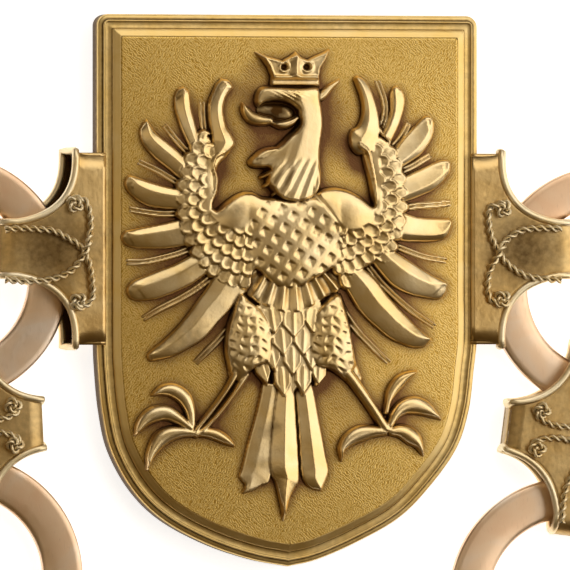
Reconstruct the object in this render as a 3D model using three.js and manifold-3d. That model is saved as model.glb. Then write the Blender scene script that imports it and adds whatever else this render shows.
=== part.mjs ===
// A ceremonial chain, laid out flat and face up. A gilt shield carries a crowned displayed eagle.
// Broad flat rings run away from it on both sides, and folded sheet cuffs join each ring to the next.
// Millimetres, +Z up. Everything rests on the plane z = 0, and the shield's centre is at x = y = 0.

import * as THREE from "three";
import { mergeVertices } from "three/addons/utils/BufferGeometryUtils.js";
import Module from "manifold-3d";

const wasm = await Module();
wasm.setup();

// Shield: the plate, its two stepped borders and the raised field.
const shieldTop = 45.9;
const shieldPoint = -45.8;
const shieldHalfWidth = 32.3;
const shieldCornerRadius = 1.9;
const plateHeight = 4.6;
const borders = [
  { name: "band", inset: 0.95, foot: 4.8, height: 5.0, edge: 0.15 },
  { name: "field", inset: 2.55, foot: 5.0, height: 5.9, edge: 0.95 },
];
const plateEdge = 0.5;
const fieldHeight = 5.9;

// Half widths of the shield below its straight sides, down to the point.
const lowerOutline = [
  { y: -13.0, left: 32.1, right: 31.8 },
  { y: -20.0, left: 31.4, right: 30.9 },
  { y: -26.5, left: 29.9, right: 28.7 },
  { y: -33.0, left: 26.3, right: 23.9 },
  { y: -38.0, left: 21.2, right: 18.7 },
  { y: -42.0, left: 13.8, right: 11.4 },
  { y: -44.5, left: 6.2, right: 4.9 },
];

// Rings.
const ringOuter = 20.4;
const ringInner = 13.7;
const ringThickness = 1.8;
const ringSides = 16;
const ringUnderside = 1.4;

// Folded sheet cuffs: the sheet, and the height of the flattened tube that it makes.
const sheet = 1.1;
const cuffHeight = 5.7;
const neckHalfWidth = 4.4;
const curveSteps = 5;
const wrapSteps = 5;

// The shield's own cuffs, measured outwards from the shield's centre.
const sideCuff = {
  centreY: 7.0,
  from: 31.2,
  wing: 36.2,
  wingHalfWidth: 16.2,
  pullX: 35.4,
  pullHalfWidth: 6.0,
  neckFrom: 46.0,
  end: 49.6,
};

// Double cuffs, measured outwards from their own middle.
const link = {
  wing: 4.0,
  wingHalfWidth: 14.4,
  pullX: 5.0,
  pullHalfWidth: 6.4,
  neckFrom: 13.5,
  end: 17.0,
};

// Places of the rings that lie beside the shield, and how far one cuff has slid along its rings.
const leftRings = [
  { x: -57.2, y: 2.2 },
  { x: -54.8, y: -47.4 },
];
const rightRings = [
  { x: 55.0, y: 0.5 },
  { x: 48.3, y: -51.8 },
];
const ringCount = 18;
const ringPitch = 51.5;
const slidCuff = { number: 17, by: 1.3 };

const weldDistance = 0.01;

const gilt = { color: 0xb8923f, roughness: 0.32, metalness: 1.0 };
const polished = { color: 0xa9805a, roughness: 0.18, metalness: 1.0 };

// A closed geometry as a solid that can be joined and cut.
function solid(geometry) {
  const bare = geometry.clone();
  bare.deleteAttribute("normal");
  bare.deleteAttribute("uv");
  const merged = mergeVertices(bare, 1e-4);
  return new wasm.Manifold(new wasm.Mesh({
    numProp: 3,
    vertProperties: new Float32Array(merged.attributes.position.array),
    triVerts: new Uint32Array(merged.index.array),
  }));
}

function joined(solids) {
  return solids.reduce((whole, piece) => whole.add(piece));
}

function asGeometry(body) {
  const mesh = body.getMesh();
  const geometry = new THREE.BufferGeometry();
  const positions = new Float32Array(mesh.numVert * 3);
  for (let i = 0; i < mesh.numVert; i += 1) {
    for (let k = 0; k < 3; k += 1) {
      positions[i * 3 + k] = mesh.vertProperties[i * mesh.numProp + k];
    }
  }
  geometry.setAttribute("position", new THREE.BufferAttribute(positions, 3));
  geometry.setIndex(new THREE.BufferAttribute(new Uint32Array(mesh.triVerts), 1));
  geometry.computeVertexNormals();
  return geometry;
}

// Corners closer together than the weld distance become one, and faces that close up are dropped.
function welded(geometry, distance) {
  const bare = geometry.clone();
  bare.deleteAttribute("normal");
  const merged = mergeVertices(bare, distance);
  const old = merged.index.array;
  const kept = [];
  for (let i = 0; i < old.length; i += 3) {
    const [a, b, c] = [old[i], old[i + 1], old[i + 2]];
    if (a !== b && b !== c && c !== a) {
      kept.push(a, b, c);
    }
  }
  merged.setIndex(kept);
  merged.computeVertexNormals();
  return merged;
}

// An upright prism over a flat outline of Vector2 points.
function prism(outline, low, high) {
  const shape = new THREE.Shape(outline);
  const geometry = new THREE.ExtrudeGeometry(shape, { depth: high - low, bevelEnabled: false, steps: 1 });
  geometry.translate(0, 0, low);
  return solid(geometry);
}

// A closed skin over flat sections that all have the same number of corners. Each end is capped by
// a fan from its middle, so every section is one that its own middle sees the whole of.
function loft(sections) {
  const corners = sections[0].length;
  const ends = [sections[0], sections[sections.length - 1]];
  const middles = ends.map((end) => {
    const sum = end.reduce((total, point) => total.add(point), new THREE.Vector3());
    return sum.divideScalar(corners);
  });
  const points = [...sections.flat(), ...middles];
  const index = [];
  for (let i = 0; i + 1 < sections.length; i += 1) {
    for (let k = 0; k < corners; k += 1) {
      const a = i * corners + k;
      const b = i * corners + (k + 1) % corners;
      index.push(a, b, b + corners, a, b + corners, a + corners);
    }
  }
  const last = (sections.length - 1) * corners;
  const firstMiddle = sections.length * corners;
  for (let k = 0; k < corners; k += 1) {
    const after = (k + 1) % corners;
    index.push(firstMiddle, after, k);
    index.push(firstMiddle + 1, last + k, last + after);
  }
  let volume = 0;
  for (let i = 0; i < index.length; i += 3) {
    const cross = new THREE.Vector3().crossVectors(points[index[i + 1]], points[index[i + 2]]);
    volume += points[index[i]].dot(cross);
  }
  if (volume < 0) {
    index.reverse();
  }
  const geometry = new THREE.BufferGeometry().setFromPoints(points);
  geometry.setIndex(index);
  return solid(geometry);
}

// The point moved inwards from the line through its neighbours, for an outline that runs clockwise.
function movedIn(before, point, after, inset) {
  const into = point.clone().sub(before).normalize();
  const away = after.clone().sub(point).normalize();
  const inwards = new THREE.Vector2(into.y + away.y, -into.x - away.x).normalize();
  const spread = inwards.dot(new THREE.Vector2(into.y, -into.x));
  return point.clone().addScaledVector(inwards, inset / spread);
}

// The shield's outline, moved inwards by the inset, as a list of points.
function shieldOutline(inset) {
  const cornerSteps = 3;
  const sharpest = 0.4;
  const radius = Math.max(sharpest, shieldCornerRadius - inset);
  const halfWidth = shieldHalfWidth - inset;
  const outline = [];
  for (const side of [-1, 1]) {
    const start = side < 0 ? Math.PI : Math.PI / 2;
    for (let i = 0; i <= cornerSteps; i += 1) {
      const angle = start - (i / cornerSteps) * Math.PI / 2;
      const x = side * (halfWidth - radius) + radius * Math.cos(angle);
      const y = shieldTop - inset - radius + radius * Math.sin(angle);
      outline.push(new THREE.Vector2(x, y));
    }
  }
  const right = lowerOutline.map((row) => new THREE.Vector2(row.right, row.y));
  const left = lowerOutline.map((row) => new THREE.Vector2(-row.left, row.y)).reverse();
  const lower = [...right, new THREE.Vector2(0, shieldPoint), ...left];
  const run = [new THREE.Vector2(shieldHalfWidth, 0), ...lower, new THREE.Vector2(-shieldHalfWidth, 0)];
  for (let i = 1; i + 1 < run.length; i += 1) {
    outline.push(movedIn(run[i - 1], run[i], run[i + 1], inset));
  }
  return outline;
}

// One storey of the shield, whose top edge slopes in by the width of its edge.
function storey(inset, low, high, foot, edge) {
  const levels = [
    { inset, z: low },
    { inset, z: foot },
    { inset: inset + edge, z: high },
  ];
  return loft(levels.map((level) => {
    return shieldOutline(level.inset).map((point) => new THREE.Vector3(point.x, point.y, level.z));
  }));
}

// Raised relief. A strip follows a centre line whose rows give x, y, half width and rise over the field.
const sunk = 0.6;

function strip(rows, crown) {
  const sections = rows.map((row, i) => {
    const [x, y, half, rise] = row;
    const before = rows[Math.max(0, i - 1)];
    const after = rows[Math.min(rows.length - 1, i + 1)];
    const along = new THREE.Vector2(after[0] - before[0], after[1] - before[1]).normalize();
    const at = (across, z) => new THREE.Vector3(x - along.y * across, y + along.x * across, fieldHeight + z);
    const shoulder = 0.6 * half;
    return [
      at(-half, -sunk),
      at(half, -sunk),
      at(half, 0.1),
      at(shoulder, crown * rise),
      at(0, rise),
      at(-shoulder, crown * rise),
      at(-half, 0.1),
    ];
  });
  return loft(sections);
}

const roundCrown = 0.82;
const sharpCrown = 0.52;

// A low dome over an oval, turned by an angle in degrees.
function mound(row) {
  const geometry = new THREE.SphereGeometry(1, 12, 6);
  geometry.rotateX(Math.PI / 2);
  geometry.scale(row.halfX, row.halfY, row.rise);
  geometry.rotateZ(THREE.MathUtils.degToRad(row.turn));
  geometry.translate(row.x, row.y, fieldHeight);
  return solid(geometry);
}

// Wing feathers, from the root through a bend to the tip, each with its greatest width and rise.
const feathers = [
  { root: [-16.3, 23.2], bend: [-18.7, 28.5], tip: [-18.5, 33.5], width: 2.5, rise: 1.6 },
  { root: [-17.3, 19.8], bend: [-22.0, 23.2], tip: [-24.8, 28.2], width: 2.8, rise: 1.7 },
  { root: [-17.6, 14.5], bend: [-23.2, 15.5], tip: [-28.0, 18.5], width: 3.7, rise: 1.8 },
  { root: [-16.8, 10.0], bend: [-23.2, 8.8], tip: [-28.3, 8.7], width: 3.7, rise: 1.8 },
  { root: [-14.2, 4.8], bend: [-21.3, 1.4], tip: [-27.7, 0.0], width: 4.2, rise: 1.9 },
  { root: [-10.8, 1.2], bend: [-17.2, -6.0], tip: [-24.6, -11.0], width: 4.7, rise: 2.0 },
  { root: [15.1, 23.5], bend: [17.8, 28.8], tip: [17.7, 34.0], width: 2.5, rise: 1.6 },
  { root: [16.5, 20.8], bend: [21.2, 24.4], tip: [23.8, 29.0], width: 3.7, rise: 1.7 },
  { root: [17.1, 16.2], bend: [22.9, 17.7], tip: [27.0, 21.0], width: 4.0, rise: 1.8 },
  { root: [16.8, 10.8], bend: [22.6, 10.0], tip: [27.4, 11.2], width: 3.8, rise: 1.8 },
  { root: [14.4, 6.8], bend: [20.6, 1.9], tip: [26.9, 0.3], width: 4.3, rise: 1.9 },
  { root: [10.0, 4.5], bend: [16.2, -4.2], tip: [24.1, -8.5], width: 5.0, rise: 2.0 },
];

// Thin quills that show between the feathers.
const quills = [
  { root: [-15.6, 22.2], bend: [-18.3, 24.7], tip: [-21.2, 27.3], width: 0.9, rise: 0.8 },
  { root: [-17.6, 17.3], bend: [-22.0, 19.8], tip: [-25.6, 21.3], width: 1.0, rise: 0.8 },
  { root: [-18.3, 13.2], bend: [-23.2, 12.8], tip: [-27.2, 13.5], width: 0.9, rise: 0.8 },
  { root: [-16.9, 7.2], bend: [-22.4, 5.2], tip: [-27.7, 4.8], width: 0.9, rise: 0.8 },
  { root: [-13.2, 2.8], bend: [-19.0, -1.5], tip: [-25.3, -4.8], width: 0.8, rise: 0.8 },
  { root: [14.8, 26.2], bend: [16.0, 30.5], tip: [14.8, 35.2], width: 1.1, rise: 1.0 },
  { root: [16.5, 23.7], bend: [18.9, 26.2], tip: [20.0, 29.8], width: 0.9, rise: 0.8 },
  { root: [18.2, 19.3], bend: [21.2, 20.8], tip: [23.8, 22.7], width: 0.9, rise: 0.8 },
  { root: [18.9, 13.8], bend: [23.3, 14.0], tip: [26.9, 14.5], width: 0.9, rise: 0.8 },
  { root: [17.1, 7.8], bend: [21.4, 6.0], tip: [25.5, 5.0], width: 0.8, rise: 0.8 },
  { root: [13.2, 4.0], bend: [17.8, -0.8], tip: [24.0, -5.0], width: 0.8, rise: 0.8 },
];

// Width and rise along a feather, as shares of its greatest ones.
const featherShares = [
  { along: 0.0, width: 0.7, rise: 0.9 },
  { along: 0.35, width: 0.9, rise: 1.0 },
  { along: 0.7, width: 1.0, rise: 0.95 },
  { along: 0.92, width: 0.72, rise: 0.8 },
  { along: 1.0, width: 0.2, rise: 0.5 },
];

function feather(row) {
  const line = new THREE.QuadraticBezierCurve(
    new THREE.Vector2(...row.root),
    new THREE.Vector2(...row.bend),
    new THREE.Vector2(...row.tip),
  );
  const rows = featherShares.map((share) => {
    const p = line.getPoint(share.along);
    return [p.x, p.y, share.width * row.width / 2, share.rise * row.rise];
  });
  return strip(rows, sharpCrown);
}

// Domed masses of the body, the wings' scaled arms and the head.
const mounds = [
  { name: "breast", x: 0.8, y: 8.5, halfX: 9.6, halfY: 9.5, rise: 4.2, turn: 0 },
  { name: "belly", x: 0.2, y: -4.5, halfX: 6.0, halfY: 10.0, rise: 3.4, turn: 0 },
  { name: "left shoulder", x: -7.6, y: 13.0, halfX: 6.2, halfY: 3.8, rise: 3.8, turn: 12 },
  { name: "left arm", x: -12.6, y: 11.6, halfX: 6.0, halfY: 8.4, rise: 3.2, turn: 12 },
  { name: "right shoulder", x: 9.0, y: 13.4, halfX: 6.0, halfY: 3.8, rise: 3.8, turn: -12 },
  { name: "right arm", x: 13.8, y: 11.2, halfX: 5.4, halfY: 8.6, rise: 3.2, turn: -6 },
  { name: "left thigh", x: -6.8, y: -6.0, halfX: 3.2, halfY: 7.6, rise: 2.9, turn: -14 },
  { name: "right thigh", x: 7.0, y: -6.0, halfX: 3.2, halfY: 7.6, rise: 2.9, turn: 14 },
  { name: "head", x: 1.3, y: 31.0, halfX: 3.9, halfY: 3.2, rise: 3.4, turn: 0 },
  { name: "left foot", x: -16.8, y: -23.5, halfX: 1.5, halfY: 1.5, rise: 1.8, turn: 0 },
  { name: "right foot", x: 16.6, y: -23.3, halfX: 1.5, halfY: 1.5, rise: 1.8, turn: 0 },
];

// Rounded strips. Each row is x, y, half width and rise.
const limbs = [
  {
    name: "neck",
    rows: [
      [2.4, 31.5, 2.8, 3.2],
      [2.7, 27.0, 2.9, 3.2],
      [1.8, 21.8, 4.2, 3.3],
      [1.4, 14.8, 5.8, 3.9],
    ],
  },
  {
    name: "nape",
    rows: [
      [3.6, 31.4, 1.0, 1.8],
      [6.0, 33.0, 0.7, 1.4],
      [8.0, 34.9, 0.2, 0.6],
    ],
  },
  {
    name: "beak",
    rows: [
      [0.5, 31.8, 1.8, 3.0],
      [-3.2, 32.3, 1.6, 2.6],
      [-5.4, 31.7, 1.0, 2.0],
      [-6.2, 30.3, 0.3, 1.0],
    ],
  },
  {
    name: "jaw",
    rows: [
      [2.5, 28.5, 1.0, 2.4],
      [-1.1, 27.8, 0.8, 1.8],
      [-3.9, 27.9, 0.4, 1.0],
    ],
  },
  {
    name: "tongue",
    rows: [
      [-3.4, 28.2, 0.4, 1.2],
      [-6.6, 28.7, 0.7, 1.4],
      [-8.2, 30.8, 0.2, 0.8],
    ],
  },
  {
    name: "left wing bow",
    rows: [
      [-14.6, 17.0, 4.2, 2.8],
      [-14.2, 22.5, 3.6, 2.6],
      [-12.9, 28.0, 2.2, 2.2],
      [-11.6, 33.6, 1.7, 1.6],
    ],
  },
  {
    name: "left wing strip",
    rows: [
      [-11.2, 25.0, 0.9, 2.2],
      [-12.6, 21.5, 1.1, 2.6],
      [-12.8, 16.8, 1.1, 3.0],
    ],
  },
  {
    name: "right wing bow",
    rows: [
      [15.4, 17.0, 4.0, 2.8],
      [14.8, 22.0, 3.4, 2.6],
      [13.2, 28.6, 2.2, 2.2],
      [11.4, 34.6, 0.9, 1.4],
    ],
  },
  {
    name: "left shank",
    rows: [
      [-8.4, -12.0, 1.2, 2.2],
      [-12.6, -18.8, 0.8, 1.8],
      [-16.8, -23.5, 0.9, 1.8],
    ],
  },
  {
    name: "right shank",
    rows: [
      [9.0, -12.0, 1.2, 2.2],
      [13.2, -18.4, 0.8, 1.8],
      [16.6, -23.3, 0.9, 1.8],
    ],
  },
  {
    name: "left toe 1",
    rows: [
      [-16.8, -23.5, 0.8, 1.6],
      [-17.8, -19.4, 0.9, 1.5],
      [-20.3, -16.8, 0.9, 1.3],
      [-23.6, -17.2, 0.2, 0.5],
    ],
  },
  {
    name: "left toe 2",
    rows: [
      [-17.0, -23.3, 0.8, 1.6],
      [-21.2, -21.0, 1.0, 1.5],
      [-24.1, -21.3, 0.8, 1.2],
      [-26.5, -23.7, 0.2, 0.5],
    ],
  },
  {
    name: "left toe 3",
    rows: [
      [-16.6, -23.6, 0.8, 1.6],
      [-20.7, -23.9, 1.0, 1.5],
      [-23.2, -25.9, 0.8, 1.2],
      [-24.4, -29.5, 0.2, 0.5],
    ],
  },
  {
    name: "left toe 4",
    rows: [
      [-16.4, -23.6, 0.7, 1.5],
      [-13.0, -23.8, 0.8, 1.3],
      [-9.8, -25.7, 0.2, 0.5],
    ],
  },
  {
    name: "right toe 1",
    rows: [
      [16.3, -22.8, 0.8, 1.6],
      [16.7, -18.6, 0.8, 1.5],
      [18.2, -15.8, 0.8, 1.3],
      [21.1, -13.3, 0.2, 0.5],
    ],
  },
  {
    name: "right toe 2",
    rows: [
      [16.9, -22.9, 0.8, 1.6],
      [18.6, -20.2, 1.0, 1.5],
      [21.6, -19.4, 0.8, 1.2],
      [25.3, -21.0, 0.2, 0.5],
    ],
  },
  {
    name: "right toe 3",
    rows: [
      [16.8, -23.5, 0.85, 1.5],
      [20.0, -23.9, 1.0, 1.4],
      [21.9, -25.2, 0.7, 1.1],
      [22.4, -27.3, 0.2, 0.5],
    ],
  },
  {
    name: "right toe 4",
    rows: [
      [16.1, -23.4, 0.75, 1.6],
      [12.2, -23.2, 0.8, 1.4],
      [9.6, -24.6, 0.7, 1.1],
      [8.1, -27.7, 0.2, 0.5],
    ],
  },
];

// Ridged strips of the tail and the bare edge of each wing's top.
const blades = [
  {
    name: "tail middle",
    rows: [
      [-0.4, -14.0, 1.6, 2.4],
      [-0.7, -26.5, 2.3, 2.2],
      [-1.1, -33.2, 1.9, 1.8],
      [-1.4, -38.0, 0.2, 0.5],
    ],
  },
  {
    name: "tail left",
    rows: [
      [-2.2, -14.5, 1.2, 1.8],
      [-5.0, -26.5, 2.0, 1.8],
      [-6.7, -31.2, 1.8, 1.4],
      [-8.1, -33.6, 0.3, 0.5],
    ],
  },
  {
    name: "tail right",
    rows: [
      [1.6, -14.5, 1.2, 1.8],
      [3.5, -26.5, 1.8, 1.8],
      [4.4, -30.2, 1.7, 1.4],
      [5.0, -33.2, 0.3, 0.5],
    ],
  },
];

const crownOutline = [
  [-3.6, 33.6], [-3.6, 35.6], [-6.0, 39.5], [-3.6, 38.6], [-1.4, 38.0], [0.3, 39.7],
  [2.2, 38.6], [4.2, 38.8], [6.4, 40.0], [4.8, 35.6], [4.8, 33.6],
];
const crownRise = 2.6;

function eagle() {
  const outline = crownOutline.map(([x, y]) => new THREE.Vector2(x, y));
  const crown = prism(outline, fieldHeight - sunk, fieldHeight + crownRise);
  return joined([
    ...feathers.map(feather),
    ...quills.map(feather),
    ...mounds.map(mound),
    ...limbs.map((limb) => strip(limb.rows, roundCrown)),
    ...blades.map((blade) => strip(blade.rows, sharpCrown)),
    crown,
  ]);
}

// The hollowed edge of a cuff from its wing to its neck, as distance out and half width.
function hollowedEdge(cuff) {
  const curve = new THREE.QuadraticBezierCurve(
    new THREE.Vector2(cuff.wing, cuff.wingHalfWidth),
    new THREE.Vector2(cuff.pullX, cuff.pullHalfWidth),
    new THREE.Vector2(cuff.neckFrom, neckHalfWidth),
  );
  return curve.getPoints(curveSteps);
}

// The side view of a folded sheet: a flattened tube whose end is half round, from start to end.
function foldProfile(start, end, low, high, roundStart) {
  const radius = (high - low) / 2;
  const middle = (high + low) / 2;
  const profile = [];
  for (let i = 0; i <= wrapSteps; i += 1) {
    const angle = -Math.PI / 2 + (i / wrapSteps) * Math.PI;
    const out = end - radius + radius * Math.cos(angle);
    profile.push(new THREE.Vector2(out, middle + radius * Math.sin(angle)));
  }
  if (roundStart) {
    for (const point of [...profile].reverse()) {
      profile.push(new THREE.Vector2(start + end - point.x, point.y));
    }
  } else {
    profile.push(new THREE.Vector2(start, high), new THREE.Vector2(start, low));
  }
  return profile;
}

// A prism that runs along Y, with its outline in X and Z.
function crossPrism(profile, halfLength) {
  const geometry = new THREE.ExtrudeGeometry(new THREE.Shape(profile), {
    depth: 2 * halfLength,
    bevelEnabled: false,
    steps: 1,
  });
  geometry.translate(0, 0, -halfLength);
  geometry.rotateX(Math.PI / 2);
  return solid(geometry);
}

function block(x0, x1, y0, y1, z0, z1) {
  const geometry = new THREE.BoxGeometry(x1 - x0, y1 - y0, z1 - z0);
  geometry.translate((x0 + x1) / 2, (y0 + y1) / 2, (z0 + z1) / 2);
  return solid(geometry);
}

// A cuff that runs out along +X from the shield's right side.
function sideCuffSolid() {
  const edge = hollowedEdge(sideCuff);
  const half = [new THREE.Vector2(sideCuff.from, edge[0].y - 0.7), ...edge];
  half.push(new THREE.Vector2(sideCuff.end, neckHalfWidth));
  const outline = [...half, ...[...half].reverse().map((p) => new THREE.Vector2(p.x, -p.y))];
  const outer = foldProfile(sideCuff.from, sideCuff.end, 0, cuffHeight, false);
  const innerFrom = shieldHalfWidth + 0.4;
  const inner = foldProfile(innerFrom, sideCuff.end - sheet, sheet, cuffHeight - sheet, false);
  const wide = 2 * sideCuff.wingHalfWidth;
  const wallFrom = sideCuff.wingHalfWidth - sheet - 0.7;
  let cavity = crossPrism(inner, wide);
  for (const side of [-1, 1]) {
    const y0 = Math.min(side * wallFrom, side * (wide + 1));
    const y1 = Math.max(side * wallFrom, side * (wide + 1));
    cavity = cavity.subtract(block(0, sideCuff.wing, y0, y1, -1, cuffHeight + 1));
  }
  return prism(outline, 0, cuffHeight).intersect(crossPrism(outer, wide)).subtract(cavity);
}

// The right side's cuff, or the same turned to the left side.
function placedCuff(turn) {
  const geometry = asGeometry(sideCuffSolid());
  geometry.rotateZ(turn);
  geometry.translate(0, sideCuff.centreY, 0);
  return solid(geometry);
}

function shieldSolid() {
  const plate = storey(0, 0, plateHeight, plateHeight - 0.5, plateEdge);
  const steps = borders.map((row) => storey(row.inset, plateHeight - 1, row.height, row.foot, row.edge));
  return joined([plate, ...steps, eagle(), placedCuff(0), placedCuff(Math.PI)]);
}

// A double cuff about its own middle, with a ring's band lying in each end.
function linkSolid() {
  const edge = hollowedEdge(link);
  const quarter = [...edge, new THREE.Vector2(link.end, neckHalfWidth)];
  const rightHalf = [...quarter, ...[...quarter].reverse().map((p) => new THREE.Vector2(p.x, -p.y))];
  const leftHalf = rightHalf.map((p) => new THREE.Vector2(-p.x, -p.y));
  const outline = [...rightHalf, ...leftHalf];
  const wide = 2 * link.wingHalfWidth;
  const outer = foldProfile(-link.end, link.end, 0, cuffHeight, true);
  const inner = foldProfile(sheet - link.end, link.end - sheet, sheet, cuffHeight - sheet, true);
  let cavity = crossPrism(inner, wide);
  const wallFrom = link.wingHalfWidth - sheet;
  for (const side of [-1, 1]) {
    const y0 = Math.min(side * wallFrom, side * (wide + 1));
    const y1 = Math.max(side * wallFrom, side * (wide + 1));
    cavity = cavity.subtract(block(-link.wing, link.wing, y0, y1, -1, cuffHeight + 1));
  }
  return prism(outline, 0, cuffHeight).intersect(crossPrism(outer, wide)).subtract(cavity);
}

function ringGeometry() {
  const inner = ringInner / Math.cos(Math.PI / ringSides);
  const low = ringUnderside;
  const high = ringUnderside + ringThickness;
  const profile = [
    new THREE.Vector2(inner, low),
    new THREE.Vector2(ringOuter, low),
    new THREE.Vector2(ringOuter, high),
    new THREE.Vector2(inner, high),
    new THREE.Vector2(inner, low),
  ];
  const geometry = new THREE.LatheGeometry(profile, ringSides);
  geometry.rotateX(Math.PI / 2);
  return asGeometry(solid(geometry));
}

// The rings' centres in order round the loop: down the left side, round the bottom and up the right.
// The two beside the shield on each side have their own places. The rest lie at one pitch on two
// straight runs and the half circle that closes them.
function ringCentres() {
  const leftEnd = leftRings[leftRings.length - 1];
  const rightEnd = rightRings[rightRings.length - 1];
  const gaps = ringCount - leftRings.length - rightRings.length + 1;
  const radius = (rightEnd.x - leftEnd.x) / 2;
  const middleX = (rightEnd.x + leftEnd.x) / 2;
  const straight = gaps * ringPitch - Math.PI * radius;
  const bottomY = (leftEnd.y + rightEnd.y - straight) / 2;
  const leftRun = leftEnd.y - bottomY;
  const centres = [...leftRings];
  for (let i = 1; i < gaps; i += 1) {
    const distance = i * ringPitch;
    const round = distance - leftRun;
    if (round <= 0) {
      centres.push({ x: leftEnd.x, y: leftEnd.y - distance });
    } else if (round <= Math.PI * radius) {
      const angle = Math.PI + round / radius;
      centres.push({ x: middleX + radius * Math.cos(angle), y: bottomY + radius * Math.sin(angle) });
    } else {
      centres.push({ x: rightEnd.x, y: bottomY + round - Math.PI * radius });
    }
  }
  return [...centres, ...[...rightRings].reverse()];
}

function named(name, geometry, finish) {
  const mesh = new THREE.Mesh(geometry, new THREE.MeshStandardMaterial(finish));
  mesh.name = name;
  return mesh;
}

function twoDigits(number) {
  return String(number).padStart(2, "0");
}

const chain = new THREE.Group();
chain.add(named("shield", welded(asGeometry(shieldSolid()), weldDistance), gilt));

const centres = ringCentres();
const ringShape = ringGeometry();
const linkShape = asGeometry(linkSolid());

centres.forEach((centre, i) => {
  const ring = named(`ring_${twoDigits(i + 1)}`, ringShape, polished);
  ring.position.set(centre.x, centre.y, 0);
  chain.add(ring);
});

for (let i = 0; i + 1 < centres.length; i += 1) {
  const here = centres[i];
  const next = centres[i + 1];
  const heading = Math.atan2(next.y - here.y, next.x - here.x);
  const slid = i + 1 === slidCuff.number ? slidCuff.by : 0;
  const cuff = named(`link_${twoDigits(i + 1)}`, linkShape, gilt);
  cuff.rotation.z = heading;
  cuff.position.set(
    (here.x + next.x) / 2 + slid * Math.cos(heading),
    (here.y + next.y) / 2 + slid * Math.sin(heading),
    0,
  );
  chain.add(cuff);
}

export default chain;
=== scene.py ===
"""Looks for the ceremonial chain: a gilt shield with a crowned eagle, folded sheet cuffs and flat rings.

The relief of the eagle is one height over the shield's field, drawn from traced edges. Those edges
are points of the photograph, in its pixels, and placed() turns them into millimetres on the shield.
"""
import math

import bpy
import numpy as np
from mathutils import Matrix, Vector
from mathutils.geometry import delaunay_2d_cdt


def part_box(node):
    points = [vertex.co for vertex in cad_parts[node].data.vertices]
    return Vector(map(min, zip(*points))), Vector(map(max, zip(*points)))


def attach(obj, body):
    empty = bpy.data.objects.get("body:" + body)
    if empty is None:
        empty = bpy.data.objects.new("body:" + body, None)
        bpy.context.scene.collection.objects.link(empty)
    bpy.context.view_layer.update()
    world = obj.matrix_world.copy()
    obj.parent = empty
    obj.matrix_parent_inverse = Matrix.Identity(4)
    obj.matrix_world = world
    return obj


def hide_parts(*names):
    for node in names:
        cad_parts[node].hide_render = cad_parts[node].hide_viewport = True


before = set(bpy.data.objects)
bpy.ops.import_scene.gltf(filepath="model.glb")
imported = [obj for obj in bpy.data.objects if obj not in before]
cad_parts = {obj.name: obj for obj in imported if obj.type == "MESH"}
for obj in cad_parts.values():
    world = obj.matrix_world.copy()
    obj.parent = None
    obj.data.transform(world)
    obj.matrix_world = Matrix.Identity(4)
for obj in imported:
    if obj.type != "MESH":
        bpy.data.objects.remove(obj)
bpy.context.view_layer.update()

MM = 0.001

# The photograph: 570 pixels a side, six to the millimetre, seen from 12 degrees to the left of upright.
PHOTO_CENTRE = (285.5, 291.0)
PIXELS_PER_MM = 6.0
TILT = math.radians(12.0)
SHIFT_X = 0.49

# Height of the shield's field at its edge, and how far its middle bulges above that.
FIELD_HEIGHT = 5.9
SWELL = 1.1


def swell(x, y):
    """How far the shield's field bulges above its edge, in mm."""
    return SWELL * np.clip(1 - (x / 29.0) ** 2, 0, 1) * np.clip(1 - (y / 43.0) ** 2, 0, 1)


def placed(px, py, z):
    """Where on the chain, in mm, a pixel of the photograph lies at a height z."""
    across = (np.asarray(px, float) - PHOTO_CENTRE[0]) / PIXELS_PER_MM
    up = (PHOTO_CENTRE[1] - np.asarray(py, float)) / PIXELS_PER_MM
    return (across - z * math.sin(TILT)) / math.cos(TILT) + SHIFT_X, up


def pictured(x, y, z):
    """The pixel of the photograph in which a point of the chain, in mm, is seen."""
    across = (x - SHIFT_X) * math.cos(TILT) + z * math.sin(TILT)
    return PHOTO_CENTRE[0] + across * PIXELS_PER_MM, PHOTO_CENTRE[1] - y * PIXELS_PER_MM


# Materials


def linear(colour):
    """An sRGB hex colour as linear red, green, blue and alpha."""
    values = [int(colour[i : i + 2], 16) / 255 for i in (1, 3, 5)]
    return [v / 12.92 if v <= 0.04045 else ((v + 0.055) / 1.055) ** 2.4 for v in values] + [1.0]


def add(tree, kind, inputs=None, stops=None, **settings):
    """One node of a tree with its settings and links, and the places and colours of a ramp's stops."""
    made = tree.nodes.new(kind)
    for key, value in settings.items():
        setattr(made, key, value)
    for key, value in (inputs or {}).items():
        if isinstance(value, bpy.types.NodeSocket):
            tree.links.new(value, made.inputs[key])
        else:
            made.inputs[key].default_value = value
    for number, (place, colour) in enumerate(stops or []):
        elements = made.color_ramp.elements
        if number == len(elements):
            elements.new(place)
        elements[number].position = place
        elements[number].color = linear(colour)
    return made


def new_material(name):
    """A material with only its output and its shader, and its coordinates in millimetres."""
    material = bpy.data.materials.new(name)
    material.use_nodes = True
    tree = material.node_tree
    tree.nodes.clear()
    shader = add(tree, "ShaderNodeBsdfPrincipled")
    add(tree, "ShaderNodeOutputMaterial", {"Surface": shader.outputs["BSDF"]})
    coordinates = add(tree, "ShaderNodeTexCoord").outputs["Object"]
    in_mm = add(tree, "ShaderNodeMapping", {"Vector": coordinates, "Scale": (1000, 1000, 1000)})
    return material, tree, shader, in_mm.outputs["Vector"]


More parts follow.
